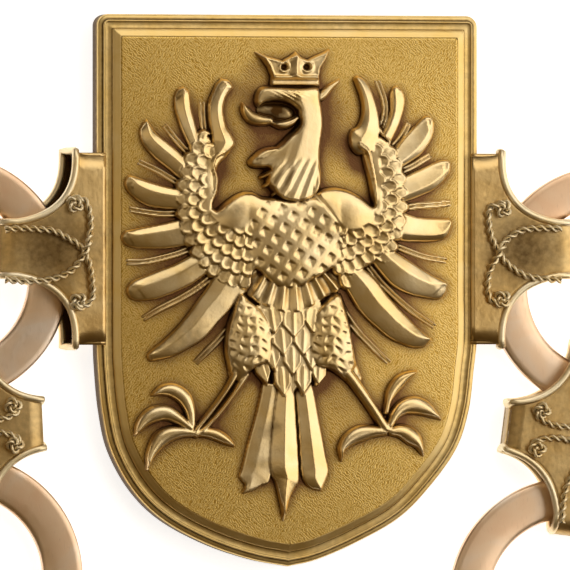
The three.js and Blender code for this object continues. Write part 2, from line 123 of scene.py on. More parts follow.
def shaded_and_sooted(tree, flecks, share, full, gold, soot_and_shade_colour):
    """Gold that turns brown where the attribute of painted shade and soot is high, with an edge that
    flecks make ragged. That brown is mostly painted shade in hollows, crevices and next to raised forms,
    with some soot.

    Gives how dark a place is and its colour. share is the weight of the flecks, and full is where
    the painted shade and soot cover all.
    """
    mark = add(tree, "ShaderNodeAttribute", attribute_name="shade_and_soot")
    ragged = add(
        tree,
        "ShaderNodeMath",
        {0: flecks, 1: share, 2: mark.outputs["Fac"]},
        operation="MULTIPLY_ADD",
    )
    dark = add(
        tree,
        "ShaderNodeMapRange",
        {"Value": ragged.outputs[0], "From Min": 0.3, "From Max": full},
    )
    tint = add(
        tree,
        "ShaderNodeMix",
        {0: dark.outputs["Result"], 6: gold, 7: linear(soot_and_shade_colour)},
        data_type="RGBA",
    )
    return dark.outputs["Result"], tint.outputs[2]


def gilt_metal(name, gold, pale, soot_and_shade_colour, rough, grain):
    """Fire-gilt metal: gold over a warm base, paler where it is rubbed, and brown with painted shade and
    some soot in hollows and corners.

    The attribute of painted shade and soot is 1 in the deepest corners, where shade falls and no cloth
    reaches. grain is rows of size and depth, in mm, for the marks of the file, the punch or the stone.
    """
    material, tree, shader, where = new_material(name)
    noise = "ShaderNodeTexNoise"
    cloud = add(tree, noise, {"Vector": where, "Scale": 1 / 6, "Detail": 4.0, "Distortion": 0.6})
    fleck = add(tree, noise, {"Vector": where, "Scale": 1 / 0.9, "Detail": 3.0})
    rubbed = add(
        tree,
        "ShaderNodeValToRGB",
        {"Fac": cloud.outputs["Fac"]},
        stops=[(0.35, gold), (0.7, pale)],
    )
    dark, tint = shaded_and_sooted(tree, fleck.outputs["Fac"], 0.35, 0.95, rubbed.outputs["Color"], soot_and_shade_colour)
    worn = add(
        tree,
        "ShaderNodeMapRange",
        {"Value": cloud.outputs["Fac"], "To Min": rough[0], "To Max": rough[1]},
    )
    duller = add(
        tree,
        "ShaderNodeMath",
        {0: dark, 1: 0.2, 2: worn.outputs["Result"]},
        operation="MULTIPLY_ADD",
    )
    height = 0.0
    for size, depth in grain:
        marks = add(tree, noise, {"Vector": where, "Scale": 1 / size, "Detail": 3.0})
        height = add(
            tree,
            "ShaderNodeMath",
            {0: marks.outputs["Fac"], 1: depth, 2: height},
            operation="MULTIPLY_ADD",
        ).outputs[0]
    bump = add(tree, "ShaderNodeBump", {"Height": height, "Distance": MM})
    tree.links.new(tint, shader.inputs["Base Color"])
    tree.links.new(duller.outputs[0], shader.inputs["Roughness"])
    tree.links.new(bump.outputs["Normal"], shader.inputs["Normal"])
    shader.inputs["Metallic"].default_value = 1.0
    return material


def matted_ground():
    """Gilt ground matted with a liner: short wavy cuts about 0.4 mm apart, which glitter like frost."""
    material, tree, shader, where = new_material("gilt_ground_matted_with_a_liner")
    noise = "ShaderNodeTexNoise"
    crumbs = add(tree, noise, {"Vector": where, "Scale": 1 / 0.42, "Detail": 3.0})
    areas = add(tree, noise, {"Vector": where, "Scale": 1 / 9, "Detail": 1.0})
    cuts = []
    for degrees in (38.0, -48.0):
        turn = (0, 0, math.radians(degrees))
        turned = add(tree, "ShaderNodeMapping", {"Vector": where, "Rotation": turn})
        wave = {"Vector": turned.outputs["Vector"], "Scale": 0.8, "Distortion": 9.0}
        wave |= {"Detail": 3.0, "Detail Scale": 2.0}
        cuts.append(add(tree, "ShaderNodeTexWave", wave).outputs["Fac"])
    side = add(
        tree,
        "ShaderNodeMapRange",
        {"Value": areas.outputs["Fac"], "From Min": 0.44, "From Max": 0.56},
    )
    lines = add(tree, "ShaderNodeMix", {0: side.outputs["Result"], 2: cuts[0], 3: cuts[1]})
    surface = add(tree, "ShaderNodeMix", {0: 0.62, 2: lines.outputs[0], 3: crumbs.outputs["Fac"]})
    cut_gold = add(
        tree,
        "ShaderNodeValToRGB",
        {"Fac": surface.outputs[0]},
        stops=[(0.3, "#c49a44"), (0.5, "#e2be6c"), (0.7, "#eacb80")],
    )
    # Painted shade and soot on the ground: brown #7a5638 where the attribute is high, next to the relief
    # and the border.
    _, tint = shaded_and_sooted(tree, crumbs.outputs["Fac"], 0.3, 1.0, cut_gold.outputs["Color"], "#7a5638")
    bump = add(tree, "ShaderNodeBump", {"Height": surface.outputs[0], "Distance": 0.036 * MM})
    tree.links.new(tint, shader.inputs["Base Color"])
    tree.links.new(bump.outputs["Normal"], shader.inputs["Normal"])
    shader.inputs["Metallic"].default_value = 1.0
    shader.inputs["Roughness"].default_value = 0.4
    return material


def rubbed_copper_alloy():
    """Rolled copper alloy, rubbed bright: a soft mirror with fine scratches and a reddish tint."""
    material, tree, shader, where = new_material("copper_alloy_rubbed_bright")
    noise = "ShaderNodeTexNoise"
    cloud = add(tree, noise, {"Vector": where, "Scale": 1 / 9, "Detail": 3.0, "Distortion": 0.5})
    drawn_out = add(
        tree,
        "ShaderNodeMapping",
        {"Vector": where, "Rotation": (0.0, 0.0, 0.6), "Scale": (3.0, 0.6, 1.0)},
    )
    scratches = add(tree, noise, {"Vector": drawn_out.outputs["Vector"], "Scale": 1.0, "Detail": 4.0})
    rubbed = add(
        tree,
        "ShaderNodeValToRGB",
        {"Fac": cloud.outputs["Fac"]},
        stops=[(0.3, "#f2cca8"), (0.5, "#f6d8b8"), (0.7, "#f4e2d0")],
    )
    depth = add(
        tree,
        "ShaderNodeMapRange",
        {"Value": scratches.outputs["Fac"], "From Min": 0.6, "From Max": 0.9, "To Max": 0.25},
    )
    tint = add(
        tree,
        "ShaderNodeMix",
        {0: depth.outputs["Result"], 6: rubbed.outputs["Color"], 7: linear("#7a5038")},
        data_type="RGBA",
    )
    worn = add(
        tree,
        "ShaderNodeMapRange",
        {"Value": scratches.outputs["Fac"], "To Min": 0.3, "To Max": 0.46},
    )
    bump = add(tree, "ShaderNodeBump", {"Height": scratches.outputs["Fac"], "Distance": 0.004 * MM})
    tree.links.new(tint.outputs[2], shader.inputs["Base Color"])
    tree.links.new(worn.outputs["Result"], shader.inputs["Roughness"])
    tree.links.new(bump.outputs["Normal"], shader.inputs["Normal"])
    shader.inputs["Metallic"].default_value = 1.0
    return material


def pale_floor():
    """Matt white board: soft, with the faintest tooth, and glowing with painted light so that it reads
    plain white.
    """
    material, tree, shader, where = new_material("glowing_matt_white_board")
    patches = add(tree, "ShaderNodeTexNoise", {"Vector": where, "Scale": 1 / 30, "Detail": 2.0})
    tooth = add(tree, "ShaderNodeTexNoise", {"Vector": where, "Scale": 1 / 0.8, "Detail": 2.0})
    tint = add(
        tree,
        "ShaderNodeValToRGB",
        {"Fac": patches.outputs["Fac"]},
        stops=[(0.3, "#f4f3f1"), (0.7, "#f8f7f6")],
    )
    bump = add(tree, "ShaderNodeBump", {"Height": tooth.outputs["Fac"], "Distance": 0.02 * MM})
    tree.links.new(tint.outputs["Color"], shader.inputs["Base Color"])
    tree.links.new(bump.outputs["Normal"], shader.inputs["Normal"])
    shader.inputs["Roughness"].default_value = 0.9
    # Painted light: the board glows with emission, which makes it evenly white and lights the metal from
    # below.
    shader.inputs["Emission Color"].default_value = linear("#ffffff")
    shader.inputs["Emission Strength"].default_value = 0.8
    return material


# The third colour of each gilt is the brown of painted shade and soot, laid on where that attribute is
# high.
EAGLE_GILT = gilt_metal(
    "cast_and_chased_gilt",
    "#efd092",
    "#f6e0b2",
    "#54391a",
    rough=(0.26, 0.38),
    grain=[(0.35, 0.015), (2.5, 0.05)],
)
BORDER_GILT = gilt_metal(
    "planished_gilt_border",
    "#e8c67c",
    "#f0d494",
    "#5c4220",
    rough=(0.34, 0.48),
    grain=[(0.6, 0.015), (4.0, 0.06)],
)
CUFF_GILT = gilt_metal(
    "folded_gilt_sheet",
    "#dcb878",
    "#e8ca90",
    "#4a3318",
    rough=(0.26, 0.42),
    grain=[(0.8, 0.03), (5.0, 0.12)],
)
WIRE_GILT = gilt_metal(
    "drawn_gilt_wire",
    "#f8e2b2",
    "#fdf0d0",
    "#4a341a",
    rough=(0.38, 0.48),
    grain=[(0.4, 0.01)],
)
FIELD_GILT = matted_ground()
RING_METAL = rubbed_copper_alloy()
FLOOR_BOARD = pale_floor()


# Building


def piece(name, points, faces, material, nodes, shade_and_soot=None):
    """A closed piece of the object from points in mm. It rides on the one body and stands for nodes."""
    mesh = bpy.data.meshes.new(name)
    mesh.from_pydata((np.asarray(points, float) * MM).tolist(), [], [list(map(int, f)) for f in faces])
    mesh.polygons.foreach_set("use_smooth", [True] * len(mesh.polygons))
    # The attribute holds how much painted shade and soot each point carries.
    if shade_and_soot is not None:
        attribute = mesh.attributes.new("shade_and_soot", "FLOAT", "POINT")
        attribute.data.foreach_set("value", np.asarray(shade_and_soot, np.float32))
    mesh.materials.append(material)
    made = bpy.data.objects.new(name, mesh)
    bpy.context.collection.objects.link(made)
    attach(made, "root")
    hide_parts(*nodes)


def skin(sections, round_path=False):
    """Points and faces of a closed skin over sections of equal length, each a closed loop.

    Where the path isn't a closed one, each end is closed by a fan from its middle.
    """
    sections = np.asarray(sections, float)
    rows, columns = sections.shape[:2]
    points = sections.reshape(-1, 3)
    faces = []
    for i in range(rows if round_path else rows - 1):
        here = i * columns
        there = ((i + 1) % rows) * columns
        for k in range(columns):
            after = (k + 1) % columns
            faces.append((here + k, here + after, there + after, there + k))
    if not round_path:
        middles = np.array([sections[0].mean(0), sections[-1].mean(0)])
        points = np.vstack([points, middles])
        first = rows * columns
        last = (rows - 1) * columns
        for k in range(columns):
            after = (k + 1) % columns
            faces.append((first, after, k))
            faces.append((first + 1, last + k, last + after))
    return points, outward(points, faces)


def outward(points, faces):
    """The faces, turned round if they enclose a negative volume."""
    volume = 0.0
    for face in faces:
        a = points[face[0]]
        for i in range(1, len(face) - 1):
            volume += np.dot(a, np.cross(points[face[i]], points[face[i + 1]]))
    return faces if volume > 0 else [tuple(reversed(face)) for face in faces]


def joined(parts):
    """Several (points, faces) as one."""
    points, faces, start = [], [], 0
    for some, those in parts:
        points.append(np.asarray(some, float))
        faces.extend(tuple(i + start for i in face) for face in those)
        start += len(some)
    return np.vstack(points), faces


def curve_through(points, closed=False, steps=5):
    """A smooth curve through traced points, as rows of as many numbers as the points have."""
    p = np.array(points, float)
    if closed:
        q = np.vstack([p[-1], p, p[0], p[1]])
    else:
        q = np.vstack([2 * p[0] - p[1], p, 2 * p[-1] - p[-2]])
    t = np.linspace(0, 1, steps, endpoint=False)[:, None]
    runs = []
    for a, b, c, d in zip(q[:-3], q[1:-2], q[2:-1], q[3:]):
        cubic = -a + 3 * b - 3 * c + d
        square = 2 * a - 5 * b + 4 * c - d
        runs.append(0.5 * (2 * b + (c - a) * t + square * t**2 + cubic * t**3))
    if not closed:
        runs.append(p[-1:])
    return np.vstack(runs)


# The shield's outline and border

SHIELD_TOP = 45.9
SHIELD_POINT = -45.8
SHIELD_HALF_WIDTH = 32.3
SHIELD_CORNER = 1.9
LOWER_LEFT = [(32.3, 0.0), (32.3, -8.0), (32.1, -13.0), (31.4, -20.0), (29.9, -26.5), (26.3, -33.0)]
LOWER_LEFT += [(21.2, -38.0), (13.8, -42.0), (6.2, -44.6), (0.0, SHIELD_POINT)]
LOWER_RIGHT = [(32.3, 0.0), (32.3, -8.0), (31.8, -13.0), (30.9, -20.0), (28.7, -26.5), (23.9, -33.0)]
LOWER_RIGHT += [(18.7, -38.0), (11.4, -42.0), (4.9, -44.7), (0.0, SHIELD_POINT)]

# Inset from the outline, height and how much painted shade and soot lies there, from the back up over
# the border: darkest on the outer wall and in the grooves, where shade falls.
BORDER_PROFILE = [
    (0.30, 0.00, 0.9),
    (0.00, 0.30, 0.9),
    (0.00, 2.20, 0.8),
    (0.00, 3.90, 0.6),
    (0.07, 4.25, 0.1),
    (0.25, 4.46, 0.0),
    (0.55, 4.56, 0.2),
    (0.84, 4.58, 0.7),
    (0.92, 4.60, 1.0),
    (0.97, 4.90, 0.4),
    (1.04, 5.04, 0.0),
    (1.16, 5.06, 0.0),
    (1.30, 4.92, 0.5),
    (1.45, 4.82, 0.3),
    (1.90, 4.86, 0.2),
    (2.28, 4.92, 0.3),
    (2.38, 4.98, 0.7),
    (2.46, 5.34, 0.1),
    (2.56, 5.46, 0.0),
    (3.00, 5.64, 0.0),
    (3.42, 5.82, 0.0),
    (3.58, 5.91, 0.0),
    (3.68, 5.92, 0.2),
    (3.80, 5.88, 0.5),
    (3.86, 5.30, 0.8),
]
FIELD_INSET = 3.7


def shield_outline(inset):
    """The outline moved inwards, clockwise from the top left corner, in mm."""
    radius = max(0.3, SHIELD_CORNER - inset)
    half = SHIELD_HALF_WIDTH - inset
    top = SHIELD_TOP - inset
    outline = []
    for side, start in ((-1, math.pi), (1, math.pi / 2)):
        for angle in np.linspace(start, start - math.pi / 2, 9):
            x = side * (half - radius) + radius * math.cos(angle)
            outline.append((x, top - radius + radius * math.sin(angle)))
    right = curve_through(LOWER_RIGHT, steps=8)
    left = curve_through(LOWER_LEFT, steps=8)
    left[:, 0] *= -1
    lower = np.vstack([right, left[::-1][1:]])
    run = np.vstack([lower[:1] + (0, 1), lower, lower[-1:] + (0, 1)])
    into = run[1:-1] - run[:-2]
    away = run[2:] - run[1:-1]
    into /= np.linalg.norm(into, axis=1)[:, None]
    away /= np.linalg.norm(away, axis=1)[:, None]
    inwards = np.column_stack([into[:, 1] + away[:, 1], -into[:, 0] - away[:, 0]])
    inwards /= np.linalg.norm(inwards, axis=1)[:, None]
    spread = inwards[:, 0] * into[:, 1] - inwards[:, 1] * into[:, 0]
    return np.vstack([np.array(outline), run[1:-1] + inwards * (inset / spread)[:, None]])


def shield_plate():
    sections = []
    shade_and_soot = []
    for inset, height, dark in BORDER_PROFILE:
        outline = shield_outline(inset)
        sections.append(np.column_stack([outline, np.full(len(outline), height)]))
        # Painted shade and soot from the profile's third column, one value for each ring of the border.
        shade_and_soot += [dark] * len(outline)
    points, faces = skin(sections)
    piece("shield_plate", points, faces, BORDER_GILT, ["shield"], shade_and_soot + [0.5, 0.5])


# The eagle's relief, drawn over the photograph's pixels

CANVAS = (112, 470, 42, 526)
PITCH = 1.05
U, V = np.meshgrid(np.arange(CANVAS[0], CANVAS[1], PITCH), np.arange(CANVAS[2], CANVAS[3], PITCH))
FLOOR_LEVEL = -0.7
relief = np.full(U.shape, FLOOR_LEVEL)
WALL_SLOPE = 0.65


def window(points, margin=4.0):
    """The rows and columns of the canvas that points and a margin cover."""
    p = np.asarray(points, float)[:, :2]
    low = (p.min(0) - margin - (CANVAS[0], CANVAS[2])) / PITCH
    high = (p.max(0) + margin - (CANVAS[0], CANVAS[2])) / PITCH
    c0, r0 = np.maximum(low.astype(int), 0)
    c1, r1 = np.maximum(high.astype(int) + 1, 1)
    return slice(r0, r1), slice(c0, c1)


def line_distance(u, v, line):
    """The distance to a line of points, and how far along it, in points, the nearest place lies."""
    best = np.full(u.shape, 1e9)
    along = np.zeros(u.shape)
    for i, (a, b) in enumerate(zip(line[:-1], line[1:])):
        d = b - a
        t = np.clip(((u - a[0]) * d[0] + (v - a[1]) * d[1]) / max(d @ d, 1e-9), 0, 1)
        distance = np.hypot(u - a[0] - t * d[0], v - a[1] - t * d[1])
        near = distance < best
        best = np.where(near, distance, best)
        along = np.where(near, i + t, along)
    return best, along


def inside(u, v, outline):
    found = np.zeros(u.shape, bool)
    for a, b in zip(outline, np.roll(outline, -1, axis=0)):
        if a[1] == b[1]:
            continue
        crosses = (a[1] > v) != (b[1] > v)
        found ^= crosses & (u < (b[0] - a[0]) * (v - a[1]) / (b[1] - a[1]) + a[0])
    return found


def depth_in(u, v, outline):
    """How far inside a closed outline each place lies, in pixels, negative outside."""
    distance, _ = line_distance(u, v, np.vstack([outline, outline[:1]]))
    return np.where(inside(u, v, outline), distance, -distance)


def wall(depth):
    """The steep side of a raised form, from under the field up."""
    return 0.75 + WALL_SLOPE * depth


def raise_to(where, heights):
    relief[where] = np.maximum(relief[where], heights)


def dome(u, v, x, y, half_x, half_y, rise, turn=0.0):
    a = math.radians(turn)
    across = ((u - x) * math.cos(a) + (v - y) * math.sin(a)) / half_x
    down = (-(u - x) * math.sin(a) + (v - y) * math.cos(a)) / half_y
    return rise * np.sqrt(np.clip(1 - across**2 - down**2, 0, 1))


def region(points, height, closed_curve=True):
    """Raises the inside of a traced outline to a height that a function gives."""
    outline = curve_through(points, closed=True) if closed_curve else np.array(points, float)
    where = window(outline)
    u, v = U[where], V[where]
    depth = depth_in(u, v, outline)
    raise_to(where, np.minimum(wall(depth), height(u, v, depth)))


def feather(row):
    """A long feather between two traced edges, whose two facets meet in a ridge."""
    bright = curve_through(row["bright"])
    dark = curve_through(row["dark"])
    outline = np.vstack([bright, dark[::-1]])
    where = window(outline)
    u, v = U[where], V[where]
    to_bright, along = line_distance(u, v, bright)
    to_dark, _ = line_distance(u, v, dark)
    depth = depth_in(u, v, outline)
    share = to_bright / np.maximum(to_bright + to_dark, 1e-6)
    ridge = row.get("ridge", 0.3)
    facets = np.minimum(share / ridge, (1 - share) / (1 - ridge))
    s = along / (len(bright) - 1)
    length = row["height"] * (1 - row.get("droop", 0.25) * s**2)
    round_over = row.get("round", 0.2) * np.sqrt(np.clip(4 * share * (1 - share), 0, 1))
    raise_to(where, np.minimum(wall(depth), length + row["rise"] * facets + round_over))


def horn(points, widths, height, rise, sharp=False):
    """A strip along traced points with a half width at each, round or ridged across."""
    rows = curve_through([(*p, w) for p, w in zip(points, widths)], steps=6)
    where = window(rows, 10)
    u, v = U[where], V[where]
    best = np.full(u.shape, -9.0)
    deep = np.full(u.shape, -99.0)
    for a, b in zip(rows[:-1], rows[1:]):
        d = b[:2] - a[:2]
        t = np.clip(((u - a[0]) * d[0] + (v - a[1]) * d[1]) / max(d @ d, 1e-9), 0, 1)
        distance = np.hypot(u - a[0] - t * d[0], v - a[1] - t * d[1])
        width = np.maximum(a[2] + t * (b[2] - a[2]), 0.3)
        best = np.maximum(best, 1 - distance / width)
        deep = np.maximum(deep, width - distance)
    e = np.clip(best, 0, 1)
    crown = e if sharp else np.sqrt(1 - (1 - e) ** 2)
    raise_to(where, np.minimum(wall(deep), height + rise * crown))


def beside(line, off):
    """The line moved sideways by off pixels."""
    (x0, y0), (x1, y1) = line[0], line[-1]
    length = math.hypot(x1 - x0, y1 - y0)
    dx = off * (y1 - y0) / length
    dy = -off * (x1 - x0) / length
    return [(x + dx, y + dy) for x, y in line]


# Wing feathers. The bright edge faces the light and lies nearer the ridge. Both run root to tip.
FEATHERS = [
    {
        "bright": [(202, 143), (199, 135), (196, 125), (192, 110), (190.5, 98), (189, 92), (184, 88.5)],
        "dark": [(190, 146), (187, 140), (181, 126), (176.5, 110), (176, 98), (179, 91), (184, 88.5)],
        "ridge": 0.42,
        "height": 1.0,
        "rise": 0.4,
    },
    {
        "bright": [
            (196, 168), (192, 164), (181, 154), (170, 145), (158, 135), (152, 127), (148, 121.5),
        ],
        "dark": [
            (186, 184), (180, 178), (168, 168), (158, 160), (150, 152), (144, 143), (142, 133),
            (144, 126), (148, 121.5),
        ],
        "ridge": 0.38,
        "height": 1.0,
        "rise": 0.4,
    },
    {
        "bright": [
            (188, 191), (180, 190), (165, 187), (148, 182), (136, 177.5), (131, 177), (128.5, 179),
        ],
        "dark": [
            (186, 210), (180, 209.5), (165, 208.5), (150, 206), (137, 199), (129, 190), (127, 183),
            (128.5, 179),
        ],
        "ridge": 0.34,
        "height": 1.0,
        "rise": 0.4,
    },
    {
        "bright": [
            (186, 219), (178, 221), (165, 224), (150, 227), (135, 230), (128, 231.5), (125, 234),
        ],
        "dark": [
            (190, 245), (185, 245.5), (170, 248), (155, 248.5), (143, 248.5), (135, 247.5),
            (127, 244), (123.5, 238), (125, 234),
        ],
        "ridge": 0.32,
        "height": 1.0,
        "rise": 0.4,
    },
    {
        "bright": [(196, 254), (190, 257), (175, 265), (160, 271), (145, 277), (135, 281), (130, 286)],
        "dark": [
            (210, 273), (205, 275), (192, 284), (180, 290), (165, 296), (155, 299), (145, 300),
            (138, 300), (132, 297.5), (129, 291), (130, 286),
        ],
        "ridge": 0.38,
        "height": 1.0,
        "rise": 0.4,
    },
    {
        "bright": [
            (216, 275), (206, 290), (197, 302), (188, 315), (178, 327), (168, 337), (160, 344),
            (151, 351), (148.5, 354.5),
        ],
        "dark": [
            (248, 290), (240, 298), (232, 308), (220, 320), (208, 334), (200, 341), (190, 347),
            (175, 355), (160, 359), (151, 360), (148.5, 354.5),
        ],
        "ridge": 0.4,
        "height": 1.0,
        "rise": 0.45,
    },
    {
        "bright": [(391, 142), (398, 127), (403, 112), (404.5, 100), (402, 91), (396.5, 86.5)],
        "dark": [(381, 136), (387, 124), (391, 110), (391, 95), (392.5, 89), (396.5, 86.5)],
        "ridge": 0.72,
        "height": 1.0,
        "rise": 0.45,
    },
    {
        "bright": [(394, 152), (403, 140), (412, 130), (424, 117.5), (430, 117)],
        "dark": [
            (401, 168), (410, 162), (420, 155), (427, 147), (432, 138), (434, 130), (433.5, 122),
            (430, 117),
        ],
        "ridge": 0.72,
        "height": 1.0,
        "rise": 0.45,
    },
    {
        "bright": [(400, 180), (412, 174), (425, 168), (435, 163), (442, 160.5), (447, 160.5)],
        "dark": [
            (402, 203), (415, 198), (425, 194), (435, 189), (443, 182), (449, 175), (451, 169),
            (450, 163), (447, 160.5),
        ],
        "ridge": 0.72,
        "height": 1.0,
        "rise": 0.45,
    },
    {
        "bright": [(398, 212), (404, 213), (412, 216), (420, 218), (435, 219), (450, 219)],
        "dark": [
            (396, 239), (405, 241), (415, 241.5), (430, 241.5), (440, 240), (446, 237.5), (450, 232),
            (452, 224), (450, 219),
        ],
        "ridge": 0.72,
        "height": 1.0,
        "rise": 0.45,
    },
    {
        "bright": [
            (387, 243), (393, 250), (405, 258), (420, 268), (432, 275), (445, 281.5), (447.5, 285),
        ],
        "dark": [
            (370, 258), (376, 267), (385, 278), (392, 285), (400, 290), (407, 293), (415, 295.5),
            (428, 298), (437, 299), (442, 297), (446, 292), (447.5, 285),
        ],
        "ridge": 0.36,
        "height": 1.2,
        "rise": 0.5,
    },
    {
        "bright": [
            (358, 264), (366, 271), (376, 281), (385, 293), (392, 301), (400, 310), (408, 318),
            (415, 325), (423, 332), (431, 339),
        ],
        "dark": [
            (336, 274), (342, 283), (348, 293), (355, 305), (362, 314), (370, 322), (378, 329),
            (385, 335), (393, 340), (400, 343), (408, 346), (415, 347.5), (421, 347), (426, 345),
            (431, 339),
        ],
        "ridge": 0.36,
        "height": 1.2,
        "rise": 0.5,
    },
]

# The uppermost feather of each wing, which runs into the bare front edge of the arm.
FRONT_FEATHERS = [
    {
        "bright": [
            (224, 157), (230, 152), (234, 146), (234, 141), (231, 134), (227, 127), (225, 119),
            (224, 110), (226, 100), (230, 93), (233, 88), (229, 81.5), (222, 80),
        ],
        "dark": [
            (212, 157), (213, 146), (212, 135), (210, 125), (209, 112), (210, 101), (213, 94),
            (217, 85), (222, 80),
        ],
        "ridge": 0.42,
        "height": 1.5,
        "rise": 0.5,
        "droop": 0.1,
    },
    {
        "bright": [
            (377, 152), (379, 142), (380, 130), (379, 118), (376, 104), (371, 90), (364, 80),
            (357, 76.5),
        ],
        "dark": [
            (366, 155), (357, 155), (351, 149), (349, 139), (351, 131), (357, 127), (361, 119),
            (362, 108), (360, 96), (355, 83), (354, 79), (357, 76.5),
        ],
        "ridge": 0.62,
        "height": 1.5,
        "rise": 0.5,
        "droop": 0.1,
    },
]

# Thin quills that show between the feathers, each with a groove along its middle.
QUILL_APART = 1.9
QUILL_HALF = 1.9
QUILL_TIP = 1.0
QUILLS = [
    [(206, 136), (204, 120), (203, 104)],
    [(195, 158), (182, 146), (166, 127)],
    [(184, 186), (170, 178), (158, 171), (141, 163)],
    [(178, 214), (165, 214.5), (150, 213), (132, 210)],
    [(191, 249), (178, 254), (160, 259), (145, 262), (129, 262.5)],
    [(214, 276), (195, 290), (178, 300), (160, 309), (145, 318)],
    [(236, 320), (222, 336), (208, 350), (196, 362)],
    [(380, 134), (385, 118), (385, 102), (378, 82)],
    [(391, 150), (400, 140), (406, 130), (409, 124)],
    [(403, 171), (412, 167), (422, 161), (430, 156)],
    [(405, 208), (418, 206), (434, 205), (450, 203)],
    [(392, 244), (408, 251), (425, 257), (446, 260.5)],
    [(369, 267), (380, 281), (396, 297), (412, 311), (434, 326)],
    [(338, 296), (346, 314), (358, 332), (374, 349), (388, 362)],
]

# Scaled arms: their outlines, the shoulder that the scales spread from and how much taller than wide.
ARMS = [
    {
        "outline": [
            (203, 134), (211, 132), (221, 137), (222, 150), (214, 158), (210, 165), (208, 190),
            (207, 207), (214, 218), (228, 226), (244, 224), (252, 232), (254, 250), (254, 272),
            (250, 284), (240, 289), (228, 293), (218, 288), (213, 272), (199, 267), (191, 258),
            (190, 247), (180, 240), (176, 226), (179, 200), (181, 168), (190, 146), (196, 136),
        ],
        "centre": (247, 200),
        "stretch": 1.3,
    },
    {
        "outline": [
            (366, 140), (370, 133), (378, 132), (391, 140), (403, 159), (409, 185), (406, 200),
            (409, 224), (405, 237), (395, 246), (393, 259), (385, 267), (374, 266), (362, 274),
            (360, 286), (350, 289.5), (341, 285), (333, 272), (334, 245), (338, 228), (352, 230),
            (366, 227), (374, 214), (372, 200), (374, 180), (374, 160),
        ],
        "centre": (338, 200),
        "stretch": 1.3,
    },
]

# Bare parts of the body: the two shoulders and the front edge of each arm. No scale stands out of
# the body within EDGE_FREE pixels of them.
EDGE_FREE = 11
BARE = [
    [
        (209, 208), (217, 211), (224, 204), (233, 197), (243, 192.5), (253, 193), (262, 198),
        (264, 206), (256, 214), (251, 224), (243, 230), (230, 230), (219, 226), (211, 217),
    ],
    [
        (317, 191), (324, 189), (336, 188), (350, 191.5), (363, 199), (372, 205), (374, 213),
        (371, 222), (364, 228), (354, 232), (344, 230), (336, 222), (328, 210), (320, 200),
    ],
    [
        (214, 146), (232, 146), (227, 157), (219, 166), (217, 178), (218, 192), (214, 204),
        (209, 214), (203, 206), (206, 194), (205, 180), (206, 168), (211, 156),
    ],
    [
        (362, 146), (376, 144), (380, 158), (382, 174), (383, 190), (384, 204), (380, 216),
        (372, 212), (371, 196), (368, 180), (364, 164),
    ],
]

# The smooth edge of each arm, from the front feather's root to the shoulder, in the columns of HORNS.
ARM_EDGES = [
    (
        [
            (227, 152), (220, 155), (215, 159), (213, 167), (215.5, 179), (214.5, 191), (211, 201),
            (210, 209),
        ],
        [1.5, 3.0, 3.4, 3.2, 3.2, 3.0, 2.6, 1.6],
        1.9,
        0.6,
    ),
    (
        [(360, 146), (367, 152), (370, 164), (373, 178), (375, 192), (376, 204), (374, 211)],
        [5, 4, 3.2, 3.0, 3.0, 2.8, 1.6],
        1.9,
        0.6,
    ),
]

# The scaled body and both arms as one outline, and the part of it that carries the lattice.
BODY = [
    (204, 136), (211, 138), (214, 144), (232, 146), (227, 157), (219, 166), (217, 178), (218, 192),
    (214, 204), (217, 210), (224, 204), (233, 197), (243, 192.5), (253, 193), (262, 197), (275, 198),
    (290, 200), (305, 199), (317, 192), (324, 189), (336, 188), (350, 191.5), (363, 199), (373, 206),
    (371, 196), (368, 180), (364, 164), (362, 148), (371, 140), (378, 136), (389, 143), (400, 160),
    (405, 185), (402, 200), (405, 222), (401, 235), (392, 243), (389, 256), (382, 263), (372, 264),
    (360, 271), (356, 282), (348, 285), (341, 280), (336, 268), (318, 278), (302, 287), (285, 289),
    (270, 283), (256, 270), (251, 280), (240, 285), (228, 288), (220, 283), (215, 268), (201, 263),
    (195, 256), (193, 243), (183, 236), (180, 224), (182, 200), (184, 170), (192, 149), (198, 139),
]
BREAST = [
    (256, 197), (275, 196), (300, 199), (318, 200), (328, 210), (337, 222), (341, 240), (338, 262),
    (336, 270), (318, 280), (302, 290), (285, 292), (268, 286), (254, 272), (251, 250), (250, 228),
    (251, 212),
]
# Middle, half sizes, rise and turn of the rounded masses that add up to the body.
BODY_MASSES = [
    (292, 240, 84, 88, 1.8, 0),
    (206, 205, 44, 110, 0.9, 0),
    (384, 205, 44, 110, 0.9, 0),
    (238, 212, 42, 34, 0.9, -8),
    (348, 209, 44, 34, 0.9, 12),
]
BREAST_MESH = {
    "across": (11.4, 7.4),
    "down": (-8.4, 11.4),
    "middle": (307, 242),
    "bar": 0.22,
    "run_out": 0.5,
    "depth": 0.3,
}
THIGH_MESH = {
    "across": (9.6, 2.4),
    "down": (-3.2, 8.8),
    "middle": (250, 330),
    "bar": 0.05,
    "run_out": 0.9,
    "depth": 0.26,
}

SKIRT = [
    (256, 266), (250, 280), (247, 292), (256, 302), (270, 309), (285, 314), (300, 313), (314, 306),
    (326, 297), (340, 288), (336, 266), (300, 262),
]
SKIRT_CENTRE = (291, 232)
SKIRT_FLUTE = math.radians(11.5)

THIGHS = [
    {
        "outline": [
            (240, 293), (250, 300), (262, 310), (271, 326), (273, 348), (270, 362), (258, 367),
            (248, 374), (240, 384), (232, 382), (228, 366), (225, 348), (227, 328), (233, 310),
        ],
        "dome": (250, 338, 30, 52, 2.2, -8),
    },
    {
        "outline": [
            (338, 294), (345, 310), (350, 328), (353, 346), (356, 364), (361, 380), (352, 386),
            (342, 378), (330, 370), (316, 366), (309, 350), (309, 330), (314, 314), (324, 302),
        ],
        "dome": (332, 338, 30, 52, 2.2, 8),
    },
]

